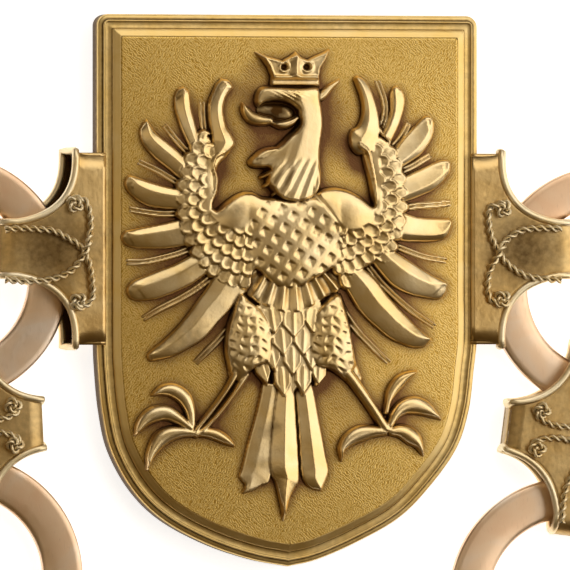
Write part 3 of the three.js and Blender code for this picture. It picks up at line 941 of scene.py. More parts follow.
BELLY = [
    (260, 300), (275, 306), (290, 309), (305, 307), (320, 300), (322, 320), (318, 345), (310, 366),
    (300, 384), (290, 395), (280, 384), (270, 366), (264, 345), (260, 320),
]

# Leaf-shaped feathers of the belly and the small coverts: place of the tip, length, half width, turn.
LEAVES = [
    (258, 330, 24, 9, 16),
    (274, 334, 26, 10, 8),
    (293, 338, 28, 11, 0),
    (312, 334, 26, 10, -8),
    (328, 330, 24, 9, -16),
    (266, 351, 26, 9, 12),
    (283, 356, 28, 10, 4),
    (302, 356, 28, 10, -4),
    (319, 351, 26, 9, -12),
    (274, 371, 28, 8, 8),
    (292, 376, 30, 9, 0),
    (310, 371, 28, 8, -8),
    (266, 385, 28, 7, 12),
    (283, 397, 30, 8, 3),
    (302, 395, 30, 8, -3),
    (316, 386, 26, 7, -10),
]

NECK = [
    (262, 88), (275, 87), (300, 87.5), (318, 88), (321, 100), (323, 115), (323, 130), (321, 145),
    (320, 160), (321, 175), (320, 190), (312, 200), (298, 204), (284, 202), (277, 197), (271, 190),
    (266, 183), (267, 176), (269, 170), (262, 169), (252, 168), (248, 164), (251, 158), (262, 152),
    (274, 148), (281, 143), (288, 136), (295, 130), (299, 124), (298, 117), (297, 111), (289, 105),
    (277, 103), (265, 104), (258, 108), (255, 101), (257, 93),
]

# Locks of the neck's hackles: tip, root and half width.
LOCKS = [
    ((249, 162), (282, 148), 6.0),
    ((260, 178), (290, 166), 4.6),
    ((264, 187), (293, 169), 4.6),
    ((273, 196), (298, 172), 4.8),
    ((287, 203), (303, 176), 4.2),
    ((300, 205), (310, 176), 4.5),
    ((313, 199), (316, 172), 4.0),
]

MOUTH = [
    (262, 103), (276, 100), (290, 103), (298, 112), (298, 122), (290, 128), (276, 126), (262, 118),
    (258, 110),
]

CROWN = [
    (256, 53.5), (268, 57.5), (283, 61.5), (290, 57.5), (296, 53), (303, 58.5), (308, 60.5),
    (316, 56.5), (329.5, 50.5), (326, 60), (321, 69), (319.5, 77), (320, 87), (271, 87),
    (271.5, 77), (268, 68), (262, 60),
]
CROWN_HOLES = [(284.6, 68), (307.4, 68)]

# Horns: toes, legs, beak and tongue, as points, half widths, height of the sides and rise.
HORNS = [
    (
        [(193, 424), (191, 410), (185, 397), (175, 390), (166, 389), (158, 391.5), (153, 394.5)],
        [3.8, 5, 6.9, 6.9, 5.6, 3.1, 0.5],
        0.7,
        1.1,
    ),
    (
        [(192, 427), (180, 418), (168, 412), (157, 413), (148, 418), (141, 426), (136.5, 434)],
        [3.8, 5.6, 7.5, 8.1, 6.9, 4.4, 0.6],
        0.7,
        1.2,
    ),
    (
        [(194, 432), (182, 431), (171, 433), (162, 438), (156, 446), (151, 456), (148.5, 468)],
        [3.8, 5.6, 7.5, 8.1, 6.2, 3.8, 0.6],
        0.7,
        1.2,
    ),
    ([(196, 432), (207, 431.5), (217, 434), (226, 439), (234, 445)], [3.8, 5, 5.6, 4.4, 0.6], 0.7, 1.0),
    (
        [(386, 412), (388, 401), (392, 391), (400, 381), (408, 375), (416, 371)],
        [2.5, 3.1, 5.6, 6.2, 3.8, 0.6],
        0.7,
        1.0,
    ),
    (
        [(390, 425), (396, 414), (404, 407), (414, 405), (425, 408), (434, 414), (441, 419)],
        [3.8, 5.6, 7.5, 8.8, 7.5, 3.8, 0.6],
        0.7,
        1.2,
    ),
    ([(392, 431), (402, 431), (411, 436), (418, 443), (423, 455)], [4.4, 6.9, 8.1, 5, 0.6], 0.7, 1.2),
    (
        [(384, 431), (372, 431), (361, 433), (352, 437), (345, 443), (341, 450), (341, 460)],
        [4.4, 6.2, 8.1, 7.5, 5.6, 3.1, 0.6],
        0.7,
        1.2,
    ),
    ([(238, 370), (226, 390), (213, 408), (201, 424), (195, 433)], [4, 2.8, 2.5, 2.5, 3], 1.0, 0.9),
    ([(246, 374), (234, 392), (220, 411), (206, 427), (197, 434)], [4, 2.6, 2.4, 2.4, 3], 1.0, 0.9),
    ([(342, 366), (354, 382), (366, 399), (377, 415), (386, 428)], [6, 5.5, 5, 5, 5], 1.0, 1.0),
    ([(318, 100), (323, 96), (330, 88), (339, 81)], [4, 4, 3, 0.6], 0.4, 0.8),
    ([(297, 119), (290, 123.5), (281, 125.5), (270, 124)], [3.4, 4.8, 4.6, 1.2], 1.2, 1.2),
    (
        [(270, 121.5), (260, 121), (252, 118.5), (246, 112), (242.5, 105)],
        [4, 5.5, 6, 4.5, 0.8],
        0.7,
        1.1,
    ),
]

TAIL = [
    {
        "bright": [(263, 382), (257, 410), (249, 440), (243, 465), (240, 476), (246, 484), (243, 492)],
        "dark": [(285, 385), (282, 405), (277, 440), (270, 478), (262, 484), (253, 489), (243, 492)],
        "ridge": 0.42,
        "height": 0.9,
        "rise": 0.2,
        "round": 0.0,
        "droop": 0.0,
    },
    {
        "bright": [(311, 380), (318, 420), (325, 455), (327.5, 470), (325, 480), (321, 489.5)],
        "dark": [(295, 380), (299, 425), (301, 455), (303.5, 478), (311, 487), (321, 489.5)],
        "ridge": 0.5,
        "height": 0.9,
        "rise": 0.5,
        "round": 0.0,
        "droop": 0.0,
    },
    {
        "bright": [
            (294, 380), (296, 420), (298, 450), (299, 478), (295, 487), (291, 495), (287, 508),
            (283.5, 519.5),
        ],
        "dark": [
            (279, 380), (275, 400), (272, 430), (270, 462), (272, 474), (276, 482), (280, 500),
            (283.5, 519.5),
        ],
        "ridge": 0.5,
        "height": 1.3,
        "rise": 0.75,
        "round": 0.0,
        "droop": 0.2,
    },
]


def soft_step(x):
    t = np.clip(x, 0, 1)
    return t * t * (3 - 2 * t)


# The fans of scales, in pixels: first and last row, a scale's spacing in its row and to the next row,
# its half width, the length of its tip and how far from its middle it is drawn.
FAN_FROM = 14.0
FAN_TO = 92
SCALE_APART = 11.0
SCALE_ROW = 9.6
SCALE_HALF = 6.4
SCALE_TIP = 7.5
SCALE_REACH = 17


def scale_fan(arm, u, v):
    """Overlapping U-shaped scales that spread from the shoulder, each with a raised rim.

    Gives their heights and how deep inside the nearest scale each place lies, in pixels.
    """
    cx, cy = arm["centre"]
    stretch = arm["stretch"]
    outline = curve_through(arm["outline"], closed=True)
    heights = np.full(u.shape, -0.4)
    deep = np.full(u.shape, -9.0)
    ring = FAN_FROM
    number = 0
    while ring < FAN_TO:
        size = 0.92 + 0.0035 * ring
        count = int(round(2 * math.pi * ring * (1 + stretch) / 2 / (SCALE_APART * size)))
        for k in range(count):
            angle = 2 * math.pi * (k + 0.5 * (number % 2)) / count
            x = cx + ring * math.cos(angle)
            y = cy + ring * stretch * math.sin(angle)
            if depth_in(np.array([x]), np.array([y]), outline)[0] < 1.0:
                continue
            dx, dy = math.cos(angle), math.sin(angle) / stretch
            length = math.hypot(dx, dy)
            dx, dy = dx / length, dy / length
            near = (abs(u[0] - x) < SCALE_REACH).nonzero()[0]
            rows = (abs(v[:, 0] - y) < SCALE_REACH).nonzero()[0]
            if len(near) == 0 or len(rows) == 0:
                continue
            patch = (slice(rows[0], rows[-1] + 1), slice(near[0], near[-1] + 1))
            a = ((u[patch] - x) * dx + (v[patch] - y) * dy) / size
            b = (-(u[patch] - x) * dy + (v[patch] - y) * dx) / size
            e = 1 - np.sqrt((b / SCALE_HALF) ** 2 + (np.maximum(a + 1.0, 0) / SCALE_TIP) ** 2)
            rim = 0.15 * np.exp(-(((e - 0.2) / 0.17) ** 2))
            shape = 0.03 * np.clip(a, -12, 8) + rim - 0.1 * np.clip(e, 0, 1)
            on = (e > 0) & (a > -13)
            heights[patch] = np.maximum(heights[patch], np.where(on, shape, -0.4))
            deep[patch] = np.maximum(deep[patch], np.where(a > -13, e * SCALE_HALF, -9.0))
        ring += SCALE_ROW * size
        number += 1
    return heights, deep


def lattice(u, v, mesh):
    """Raised bars round hollows that are deepest under their upper corner and run out downwards."""
    (ax, ay), (bx, by), (x, y) = mesh["across"], mesh["down"], mesh["middle"]
    size = ax * by - ay * bx
    m = ((u - x) * by - (v - y) * bx) / size + 0.5
    n = (ax * (v - y) - ay * (u - x)) / size + 0.5
    m = m - np.floor(m)
    n = n - np.floor(n)
    upper = soft_step((np.minimum(m, n) - mesh["bar"]) / 0.16)
    lower = soft_step((0.93 - np.maximum(m, n)) / mesh["run_out"])
    return -mesh["depth"] * upper * lower


def leaf(tip, length, half, turn, base):
    a0 = math.radians(turn)
    x, y = tip
    corners = [(x - length, y - length - 4), (x + length, y + 6)]
    where = window(corners)
    u, v = U[where], V[where]
    a = (u - x) * math.sin(a0) * -1 - (v - y) * math.cos(a0)
    b = (u - x) * math.cos(a0) - (v - y) * math.sin(a0)
    share = np.clip(a / length, 0, 1)
    width = half * np.clip(share * 2.1, 0, 1) * np.clip(1.7 - 0.9 * share, 0, 1)
    depth = np.where((a > 0) & (a < length), width - np.abs(b), -9.0)
    mid = np.exp(-((b / 1.3) ** 2))
    rim = np.exp(-(((depth - 1.2) / 0.9) ** 2))
    height = base(u, v) + 0.42 - 0.7 * share + 0.16 * mid + 0.09 * rim
    raise_to(where, np.minimum(base(u, v) - 0.9 + WALL_SLOPE * (depth + 1.0), height))


def body_mass(u, v):
    """The rounded breast, arms and shoulders under their scales, run softly into each other."""
    total = np.full(u.shape, 1.3)
    for x, y, half_x, half_y, rise, turn in BODY_MASSES:
        total = total + rise * dome(u, v, x, y, half_x, half_y, 1.0, turn) ** 2.6
    return total


def body():
    """The body and its arms: a mesh of hollows on the breast, fans of scales, and bare parts."""
    outline = curve_through(BODY, closed=True, steps=3)
    where = window(outline, 14)
    u, v = U[where], V[where]
    depth = depth_in(u, v, outline)
    into_bare = np.max([depth_in(u, v, curve_through(row, closed=True)) for row in BARE], axis=0)
    scales = np.full(u.shape, -0.4)
    for arm in ARMS:
        heights, deep = scale_fan(arm, u, v)
        scales = np.maximum(scales, heights)
        depth = np.maximum(depth, np.where(into_bare < -EDGE_FREE, deep, -9.0))
    bare = soft_step(into_bare / 4 + 0.3)
    meshed = soft_step(depth_in(u, v, curve_through(BREAST, closed=True)) / 4 + 0.5)
    pattern = lattice(u, v, BREAST_MESH) * meshed + scales * (1 - meshed)
    edge = 0.5 * np.exp(-np.maximum(depth, 0) / 3.0)
    raise_to(where, np.minimum(wall(depth), body_mass(u, v) + pattern * (1 - bare) - edge))


def belly_mass(u, v):
    return 1.1 + dome(u, v, 291, 335, 46, 78, 1.2)


def build_relief():
    for row in FEATHERS + FRONT_FEATHERS + TAIL:
        feather(row)
    for line in QUILLS:
        for off in (-QUILL_APART, QUILL_APART):
            widths = [QUILL_HALF] * (len(line) - 1) + [QUILL_TIP]
            horn(beside(line, off), widths, 0.0, 0.7, sharp=True)
    region(
        SKIRT,
        lambda u, v, depth: belly_mass(u, v)
        + 0.32 * flutes(u, v)
        - 0.35 * np.exp(-np.maximum(depth, 0) / 2.5),
    )
    region(BELLY, lambda u, v, depth: belly_mass(u, v) - 0.3)
    for x, y, length, half, turn in LEAVES:
        leaf((x, y), length, half, turn, belly_mass)
    for row in THIGHS:
        region(
            row["outline"],
            lambda u, v, depth: 0.9
            + dome(u, v, *row["dome"])
            + lattice(u + 2.0 * np.sin(v * 0.3), v + 1.5 * np.sin(u * 0.25), THIGH_MESH)
            - 0.4 * np.exp(-np.maximum(depth, 0) / 2.5),
        )
    body()
    for points, widths, height, rise in ARM_EDGES:
        horn(points, widths, height, rise)
    region(MOUTH, lambda u, v, depth: 0.5 + 0.6 * soft_step(depth / 10))
    region(NECK, neck_height)
    for tip, root, half in LOCKS:
        middle = ((tip[0] + root[0]) / 2 - 1, (tip[1] + root[1]) / 2)
        horn([root, middle, tip], [half * 0.3, half, 1.2], 2.2, 0.6)
    for points, widths, height, rise in HORNS:
        horn(points, widths, height, rise)
    region(CROWN, crown_height, closed_curve=False)


def flutes(u, v):
    angle = np.arctan2(v - SKIRT_CENTRE[1], u - SKIRT_CENTRE[0])
    return 1.0 - 2.0 * (0.5 + 0.5 * np.cos(angle * 2 * math.pi / SKIRT_FLUTE)) ** 0.8


# Where the strands of the neck fan from, and the middle of the brow.
STRANDS_FROM = (338, 100)
BROW = (288, 96)


def neck_height(u, v, depth):
    """A broad bright plane down the right, a hollow beside it, and strands that fan to the left."""
    bend = np.interp(v, [88, 105, 122, 140, 160, 200], [297, 301, 303, 300, 294, 288])
    plane = 3.3 - 0.019 * np.maximum(u - bend, 0) - 0.5 * np.exp(-np.maximum(depth, 0) / 2.0)
    hollow = 0.12 * np.exp(-(((u - bend + 5) / 4.5) ** 2))
    face = np.clip((bend - u) / 40, 0, 1)
    across, down = STRANDS_FROM[0] - u, v - STRANDS_FROM[1]
    angle = np.arctan2(down, across)
    reach = np.hypot(down, across)
    strands = 0.15 * np.sin(angle * 62) * np.clip((reach - 42) / 18, 0, 1)
    strands = strands * np.clip((v - 158) / 14, 0, 1)
    near_brow = np.exp(-(((v - BROW[1]) / 4.0) ** 2) - ((u - BROW[0]) / 13) ** 2)
    brow = 0.35 * near_brow
    crumbs = 0.25 * np.sin(u * 1.35 + 1.0) * np.sin(v * 1.6 + u * 0.5) * near_brow
    return plane - hollow - 0.8 * face + strands + brow + crumbs


def crown_height(u, v, depth):
    """Pierced crown: rims round its top edge and its holes, a ridged middle and a band below."""
    height = 1.9 + 0.5 * np.exp(-(((depth - 1.2) / 1.3) ** 2)) * (v < 76)
    for x, y in CROWN_HOLES:
        reach = np.hypot(u - x, v - y)
        height = height + 0.3 * np.exp(-(((reach - 4.8) / 1.2) ** 2))
        height = height - 0.8 / (1 + np.exp((reach - 2.9) * 2.4))
    middle = np.clip(1 - np.abs(u - 296.5) / 6.5, 0, 1)
    height = height + 0.9 * middle * ((v > 56) & (v < 77))
    height = height + 0.6 * np.exp(-(((v - 78.2) / 1.4) ** 2))
    return height - 0.25 * (v > 80) + 0.2 * np.exp(-(((v - 85) / 1.2) ** 2))


def blurred(values, reach):
    """Three box blurs along each axis, close to a soft round blur of that reach in pixels."""
    half = max(1, int(round(reach / PITCH)))
    for axis in (0, 1):
        for _ in range(3):
            before = np.repeat(np.take(values, [0], axis), half + 1, axis)
            after = np.repeat(np.take(values, [-1], axis), half, axis)
            padded = np.concatenate([before, values, after], axis)
            total = np.cumsum(padded, axis)
            count = values.shape[axis]
            high = np.take(total, range(2 * half + 1, 2 * half + 1 + count), axis)
            low = np.take(total, range(0, count), axis)
            values = (high - low) / (2 * half + 1)
    return values


# Spots of painted shade and soot on the eagle: middle, reach and strength. Most lie in hollows under the
# beak, locks and talons; the two broad spots on the left wing are painted shade that darkens that side.
EAGLE_SOOT_AND_SHADE = [
    (277, 111, 12, 0.9),
    (252, 116, 10, 0.4),
    (238, 209, 9, 0.45),
    (265, 432, 9, 0.35),
    (261, 462, 8, 0.35),
    (276, 425, 8, 0.3),
    (251, 173, 8, 0.8),
    (356, 150, 8, 0.5),
    (190, 340, 26, 0.35),
    (180, 232, 20, 0.2),
]

# Spots where painted shade and soot lie deepest on the ground, mostly beside the head and neck and about
# the tail and feet: middle, reach and strength.
SOOT_AND_SHADE_SPOTS = [
    (357, 163, 11, 0.9),
    (334, 108, 15, 0.45),
    (341, 148, 17, 0.5),
    (258, 138, 18, 0.55),
    (244, 92, 14, 0.4),
    (226, 172, 12, 0.5),
    (252, 70, 12, 0.35),
    (277, 112, 18, 0.7),
    (330, 130, 16, 0.35),
    (262, 376, 9, 0.9),
    (322, 382, 14, 0.6),
    (226, 420, 22, 0.25),
    (340, 405, 18, 0.3),
]

build_relief()
relief = np.maximum(relief, FLOOR_LEVEL)
stood = np.maximum(relief, 0)
# Painted shade and soot: the eagle darkens in its hollows and crevices, where cavity and broad measure
# how far each place lies below its surroundings.
cavity = blurred(stood, 2.2) - stood
broad = blurred(stood, 7.0) - stood
eagle_shade_and_soot = np.clip(1.6 * cavity + 0.25 * broad, 0, 1)
# Painted shade on the ground: the field darkens next to the raised relief, where shade falls, and the
# soot spots below are added to it.
raised = (relief > 0).astype(float)
shade = blurred(raised, 4.0) * 0.75 + blurred(raised, 12.0) * 0.55
ground_shade_and_soot = np.clip(shade, 0, 1)
for rows, spread in ((EAGLE_SOOT_AND_SHADE, eagle_shade_and_soot), (SOOT_AND_SHADE_SPOTS, ground_shade_and_soot)):
    for spot_x, spot_y, reach, strength in rows:
        spread += strength * np.exp(-((U - spot_x) ** 2 + (V - spot_y) ** 2) / reach**2)
    np.clip(spread, 0, 1, out=spread)


def clean_mask(mask):
    """Fills in where cells touch only corner to corner, so that no edge has more than two faces."""
    for _ in range(4):
        a, b, c, d = mask[:-1, :-1], mask[:-1, 1:], mask[1:, :-1], mask[1:, 1:]
        first = a & d & ~b & ~c
        second = b & c & ~a & ~d
        mask[:-1, 1:] |= first
        mask[:-1, :-1] |= second
    return mask


# The eagle's edge is where the relief falls to this level, and its underside lies this deep.
CUT_LEVEL = -0.42
ROOT_DEPTH = 0.8


def touched(cells):
    """Which points of the lattice the cells touch, and the number of each."""
    used = np.zeros(relief.shape, bool)
    used[:-1, :-1] |= cells
    used[:-1, 1:] |= cells
    used[1:, :-1] |= cells
    used[1:, 1:] |= cells
    number = -np.ones(relief.shape, int)
    number[used] = np.arange(used.sum())
    return used, number


def open_edges(quads):
    """The edges that only one of the faces has."""
    edges = {}
    for quad in quads.tolist():
        for k in range(4):
            edges[(quad[k], quad[(k + 1) % 4])] = True
    return [edge for edge in edges if (edge[1], edge[0]) not in edges]


def flat_underside(under, edges, cells):
    """Faces between the points of the underside, in the order of those points."""
    flat = [Vector((p[0], p[1])) for p in under]
    flat_points, _, flat_faces, origins, _, _ = delaunay_2d_cdt(flat, edges, [], 0, 1e-7)
    source = [o[0] if o else 0 for o in origins]
    rows, columns = cells.shape
    faces = []
    for face in flat_faces:
        middle = sum((flat_points[i] for i in face), Vector((0, 0))) / len(face)
        px, py = pictured(middle.x, middle.y, FIELD_HEIGHT + 0.4)
        column = int((px - CANVAS[0]) / PITCH)
        row = int((py - CANVAS[2]) / PITCH)
        if 0 <= row < rows and 0 <= column < columns and cells[row, column]:
            faces.append([source[i] for i in face])
    return faces


def eagle():
    """The relief as a closed solid that stands in the field."""
    above = relief > CUT_LEVEL
    cells = clean_mask(above[:-1, :-1] | above[:-1, 1:] | above[1:, :-1] | above[1:, 1:])
    used, number = touched(cells)
    level = FIELD_HEIGHT + 0.5 * SWELL + blurred(stood, 5.0)
    x, y = placed(U, V, level)
    z = FIELD_HEIGHT + swell(x, y) + relief
    points = np.column_stack([x[used], y[used], z[used]])
    r, c = np.nonzero(cells)
    quads = np.column_stack([number[r, c], number[r + 1, c], number[r + 1, c + 1], number[r, c + 1]])
    rim = open_edges(quads)
    low = {}
    under = []
    start = len(points)
    for a, b in rim:
        for i in (a, b):
            if i not in low:
                low[i] = start + len(under)
                under.append((points[i][0], points[i][1], FIELD_HEIGHT - ROOT_DEPTH))
    under = np.array(under)
    sides = [(b, a, low[a], low[b]) for a, b in rim]
    edges_below = [(low[a] - start, low[b] - start) for a, b in rim]
    bottom = [
        tuple(start + i for i in face)[::-1] for face in flat_underside(under, edges_below, cells)
    ]
    faces = quads.tolist() + sides + bottom
    # Painted shade and soot of the relief; the hidden underside gets the full value.
    shade_and_soot = np.concatenate([eagle_shade_and_soot[used], np.ones(len(under))])
    piece("eagle", np.vstack([points, under]), faces, EAGLE_GILT, ["shield"], shade_and_soot)


FIELD_ROWS = 250
FIELD_COLUMNS = 180


def shield_field():
    """The matted ground inside the border, a thin plate whose top the eagle stands on."""
    outline = shield_outline(FIELD_INSET)
    top = outline[:, 1].max()
    bottom = outline[:, 1].min()
    tip = int(outline[:, 1].argmin())
    right = outline[9 : tip + 1]
    left = np.vstack([outline[tip:], outline[:9]])
    sample = np.linspace(0, 1, FIELD_ROWS)
    levels = top - (top - bottom) * (1 - (1 - sample) ** 1.15)
    levels = np.clip(levels, bottom + 0.02, top - 0.01)
    x_right = np.interp(-levels, -right[:, 1], right[:, 0])
    x_left = np.interp(levels, left[:, 1], left[:, 0])
    share = np.linspace(0, 1, FIELD_COLUMNS)
    x = x_left[:, None] + (x_right - x_left)[:, None] * share[None]
    y = np.repeat(levels[:, None], FIELD_COLUMNS, 1)
    z = FIELD_HEIGHT + 0.02 + swell(x, y)
    px, py = pictured(x, y, z)
    column = np.clip(((px - CANVAS[0]) / PITCH).astype(int), 0, U.shape[1] - 1)
    row = np.clip(((py - CANVAS[2]) / PITCH).astype(int), 0, U.shape[0] - 1)
    # Painted shade and soot of the ground, read from the relief's canvas.
    dark = ground_shade_and_soot[row, column]
    top_points = np.column_stack([x.ravel(), y.ravel(), z.ravel()])
    index = np.arange(x.size).reshape(x.shape)
    faces = [
        (index[i, k], index[i + 1, k], index[i + 1, k + 1], index[i, k + 1])
        for i in range(FIELD_ROWS - 1)
        for k in range(FIELD_COLUMNS - 1)
    ]
    loop = list(index[:, 0]) + list(index[-1, 1:]) + list(index[-2::-1, -1]) + list(index[0, -2:0:-1])
    start = x.size
    lower = top_points[loop] - (0, 0, 1.1)
    middle = lower.mean(0)
    count = len(loop)
    for k in range(count):
        after = (k + 1) % count
        faces.append((loop[after], loop[k], start + k, start + after))
        faces.append((start + count, start + after, start + k))
    points = np.vstack([top_points, lower, middle[None]])
    shade_and_soot = np.concatenate([dark.ravel(), np.ones(count + 1)])
    piece("shield_field", points, faces, FIELD_GILT, ["shield"], shade_and_soot)


# Cuffs: a folded sheet, rolled wire along its hollowed edges, and twisted rope on its front

SHEET = 1.0
CUFF_TOP = 5.7
# Heights of the middle of a cuff's front sheet and of its back sheet.
SHEET_HIGH = CUFF_TOP - SHEET / 2
SHEET_LOW = SHEET / 2
NECK_HALF = 4.4
SIDE_CUFF = {
    "centre_y": 7.0,
    "front_from": 31.0,
    "back_from": 33.0,
    "wing": 36.2,
    "wing_half": 16.2,
    "pull": (35.4, 6.0),
    "neck_from": 46.0,
    "end": 49.6,
}
LINK = {"wing": 4.0, "wing_half": 14.4, "pull": (5.0, 6.4), "neck_from": 13.5, "end": 17.0}
RIM_RADIUS = 0.62
# The plain wall that closes the cuff's straight edge: across it and height.
WALL_SECTION = [(-0.45, 0.3), (0.45, 0.3), (0.45, CUFF_TOP - 0.3), (-0.45, CUFF_TOP - 0.3)]
# The rope: its radius, the length of one turn of its strands, and the step of its mesh.
ROPE_RADIUS = 0.68
ROPE_LAY = 2.9
ROPE_STEP = 0.26
# Points of a rope that are measured at a time, to keep the table of distances small.
BLOCK = 4000


def hollow_line(cuff, count):
    """The hollowed edge of a cuff: how far out it runs, and half the sheet's width there."""
    t = np.linspace(0, 1, count)
    x = (1 - t) ** 2 * cuff["wing"] + 2 * t * (1 - t) * cuff["pull"][0] + t**2 * cuff["neck_from"]
    w = (1 - t) ** 2 * cuff["wing_half"] + 2 * t * (1 - t) * cuff["pull"][1] + t**2 * NECK_HALF
    return x, w


def hollow_half_width(cuff, out):
    """Half the sheet's width at a distance out, along the hollowed edge."""
    x, w = hollow_line(cuff, 80)
    return np.interp(out, np.maximum.accumulate(x), w)


def straight_walls(start, end, half):
    """The two plain walls that close a cuff's straight edges, at half the width from its middle."""
    walls = []
    for way in (-1, 1):
        sections = []
        for x in np.linspace(start, end, 6):
            sections.append([(x, way * half + a, z) for a, z in WALL_SECTION])
        walls.append(skin(sections))
    return walls


def half_round(high, low, end, count):
    """How far out the middle of a cuff's fold lies, and points round the fold from high to low."""
    radius = (high - low) / 2
    turn = end - SHEET / 2 - radius
    middle = (high + low) / 2
    angles = np.linspace(0, math.pi, count)
    return turn, [(turn + radius * math.sin(a), middle + radius * math.cos(a)) for a in angles]


def fold_path(cuff):
    """The middle of the folded sheet from its front edge round the ring's band to its back edge."""
    turn, bend = half_round(SHEET_HIGH, SHEET_LOW, cuff["end"], 10)
    front = [(x, SHEET_HIGH) for x in np.linspace(cuff["front_from"], turn, 26)]
    back = [(x, SHEET_LOW) for x in np.linspace(turn, cuff["back_from"], 26)]
    return np.array(front + bend[1:-1] + back)


def closed_path(cuff):
    """The middle of the sheet of a double cuff, once round it."""
    turn, bend = half_round(SHEET_HIGH, SHEET_LOW, cuff["end"], 10)
    front = [(x, SHEET_HIGH) for x in np.linspace(-turn, turn, 45)]
    back = [(x, SHEET_LOW) for x in np.linspace(turn, -turn, 45)]
    other_bend = [(-x, z) for x, z in bend[-2:0:-1]]
    return np.array(front + bend[1:-1] + back + other_bend)


def sheet_skin(path, half_width, round_path=False):
    """A sheet of even thickness that follows a path in x and z, as wide as half_width says."""
    if round_path:
        along = np.roll(path, -1, axis=0) - np.roll(path, 1, axis=0)
    else:
        along = np.gradient(path, axis=0)
    along /= np.linalg.norm(along, axis=1)[:, None]
    normal = np.column_stack([-along[:, 1], along[:, 0]])
    across = np.linspace(-1, 1, 13)
    sections = []
    for (x, z), (nx, nz), half in zip(path, normal, half_width):
        upper = [(x + nx * SHEET / 2, s * half, z + nz * SHEET / 2) for s in across]
        lower = [(x - nx * SHEET / 2, s * half, z - nz * SHEET / 2) for s in across[::-1]]
        sections.append(upper + lower)
    return skin(sections, round_path)


def tube(line, radius, sides=8, closed=False):
    """A round wire along a line of points."""
    line = np.asarray(line, float)
    if closed:
        along = np.roll(line, -1, axis=0) - np.roll(line, 1, axis=0)
    else:
        along = np.gradient(line, axis=0)
    along /= np.linalg.norm(along, axis=1)[:, None]
    side = np.cross(along[0], (0.3, 0.2, 0.93))
    frames = []
    for tangent in along:
        side = side - tangent * (side @ tangent)
        side /= np.linalg.norm(side)
        frames.append((side, np.cross(tangent, side)))
    if closed:
        first, last = frames[0][0], frames[-1]
        twist = math.atan2(first @ last[1], first @ last[0])
    else:
        twist = 0.0
    sections = []
    for i, (point, (a, b)) in enumerate(zip(line, frames)):
        turn = twist * i / len(line)
        angles = [turn + 2 * math.pi * k / sides for k in range(sides)]
        sections.append([point + radius * (math.cos(g) * a + math.sin(g) * b) for g in angles])
    return skin(sections, closed)


# How much further out the side cuffs' back sheet is hollowed than the front, so that the ring's way
# in shows beside the rim.
BACK_OUT = 1.3


def rim_loop(cuff, side, back_out=0.0):
    """The middle of the wire that closes one hollowed edge: front, round the end, back and up."""
    x, w = hollow_line(cuff, 18)
    high = CUFF_TOP - 0.1
    low = RIM_RADIUS
    front = [(a, side * b, high) for a, b in zip(x, w)]
    _, fold = half_round(high, low, cuff["end"], 11)
    bend = [(a, side * NECK_HALF, b) for a, b in fold]
    back = [(a + back_out, side * b, low) for a, b in zip(x[::-1], w[::-1])]
    up = [
        (
            cuff["wing"] + back_out * (1 - t) - 0.5 * math.sin(math.pi * t),
            side * cuff["wing_half"],
            low + (high - low) * t,
        )
        for t in np.linspace(0, 1, 7)[1:-1]
    ]
    return np.array(front + bend + back + up)


def rope_tree(name):
    """Geometry Nodes: two strands laid round each other along a curve. Sizes are named inputs."""
    tree = bpy.data.node_groups.new(name, "GeometryNodeTree")
    face = tree.interface
    face.new_socket("Geometry", in_out="INPUT", socket_type="NodeSocketGeometry")
    for title, default in (("Strand Radius", 0.0003), ("Lay", 0.0022), ("Step", 0.0002)):
        face.new_socket(title, in_out="INPUT", socket_type="NodeSocketFloat").default_value = default
    face.new_socket("Metal", in_out="INPUT", socket_type="NodeSocketMaterial")
    face.new_socket("Geometry", in_out="OUTPUT", socket_type="NodeSocketGeometry")
    given = add(tree, "NodeGroupInput").outputs
    even = add(
        tree,
        "GeometryNodeResampleCurve",
        {"Curve": given["Geometry"], "Length": given["Step"]},
        mode="LENGTH",
    )
    travelled = add(tree, "GeometryNodeSplineParameter").outputs["Length"]
    turns = add(tree, "ShaderNodeMath", {0: travelled, 1: given["Lay"]}, operation="DIVIDE").outputs[0]
    angle = add(tree, "ShaderNodeMath", {0: turns, 1: 2 * math.pi}, operation="MULTIPLY").outputs[0]
    twisted = add(tree, "GeometryNodeSetCurveTilt", {"Curve": even.outputs["Curve"], "Tilt": angle})
    strand = add(
        tree,
        "GeometryNodeCurvePrimitiveCircle",
        {"Resolution": 6, "Radius": given["Strand Radius"]},
    )
    both = add(tree, "GeometryNodeJoinGeometry")
    for way in (1.0, -1.0):
        aside = add(tree, "ShaderNodeMath", {0: given["Strand Radius"], 1: way}, operation="MULTIPLY")
        offset = add(tree, "ShaderNodeCombineXYZ", {"X": aside.outputs[0]}).outputs[0]
        moved = add(
            tree,
            "GeometryNodeTransform",
            {"Geometry": strand.outputs["Curve"], "Translation": offset},
        )
        tree.links.new(moved.outputs["Geometry"], both.inputs["Geometry"])
    swept = add(
        tree,
        "GeometryNodeCurveToMesh",
        {
            "Curve": twisted.outputs["Curve"],
            "Profile Curve": both.outputs["Geometry"],
            "Fill Caps": True,
        },
    )
    real = add(tree, "GeometryNodeRealizeInstances", {"Geometry": swept.outputs["Mesh"]})
    coated = add(
        tree,
        "GeometryNodeSetMaterial",
        {"Geometry": real.outputs["Geometry"], "Material": given["Metal"]},
    )
    smooth = add(tree, "GeometryNodeSetShadeSmooth", {"Geometry": coated.outputs["Geometry"]})
    add(tree, "NodeGroupOutput", {"Geometry": smooth.outputs["Geometry"]})
    return tree


ROPE_TREE = rope_tree("two_strand_rope")


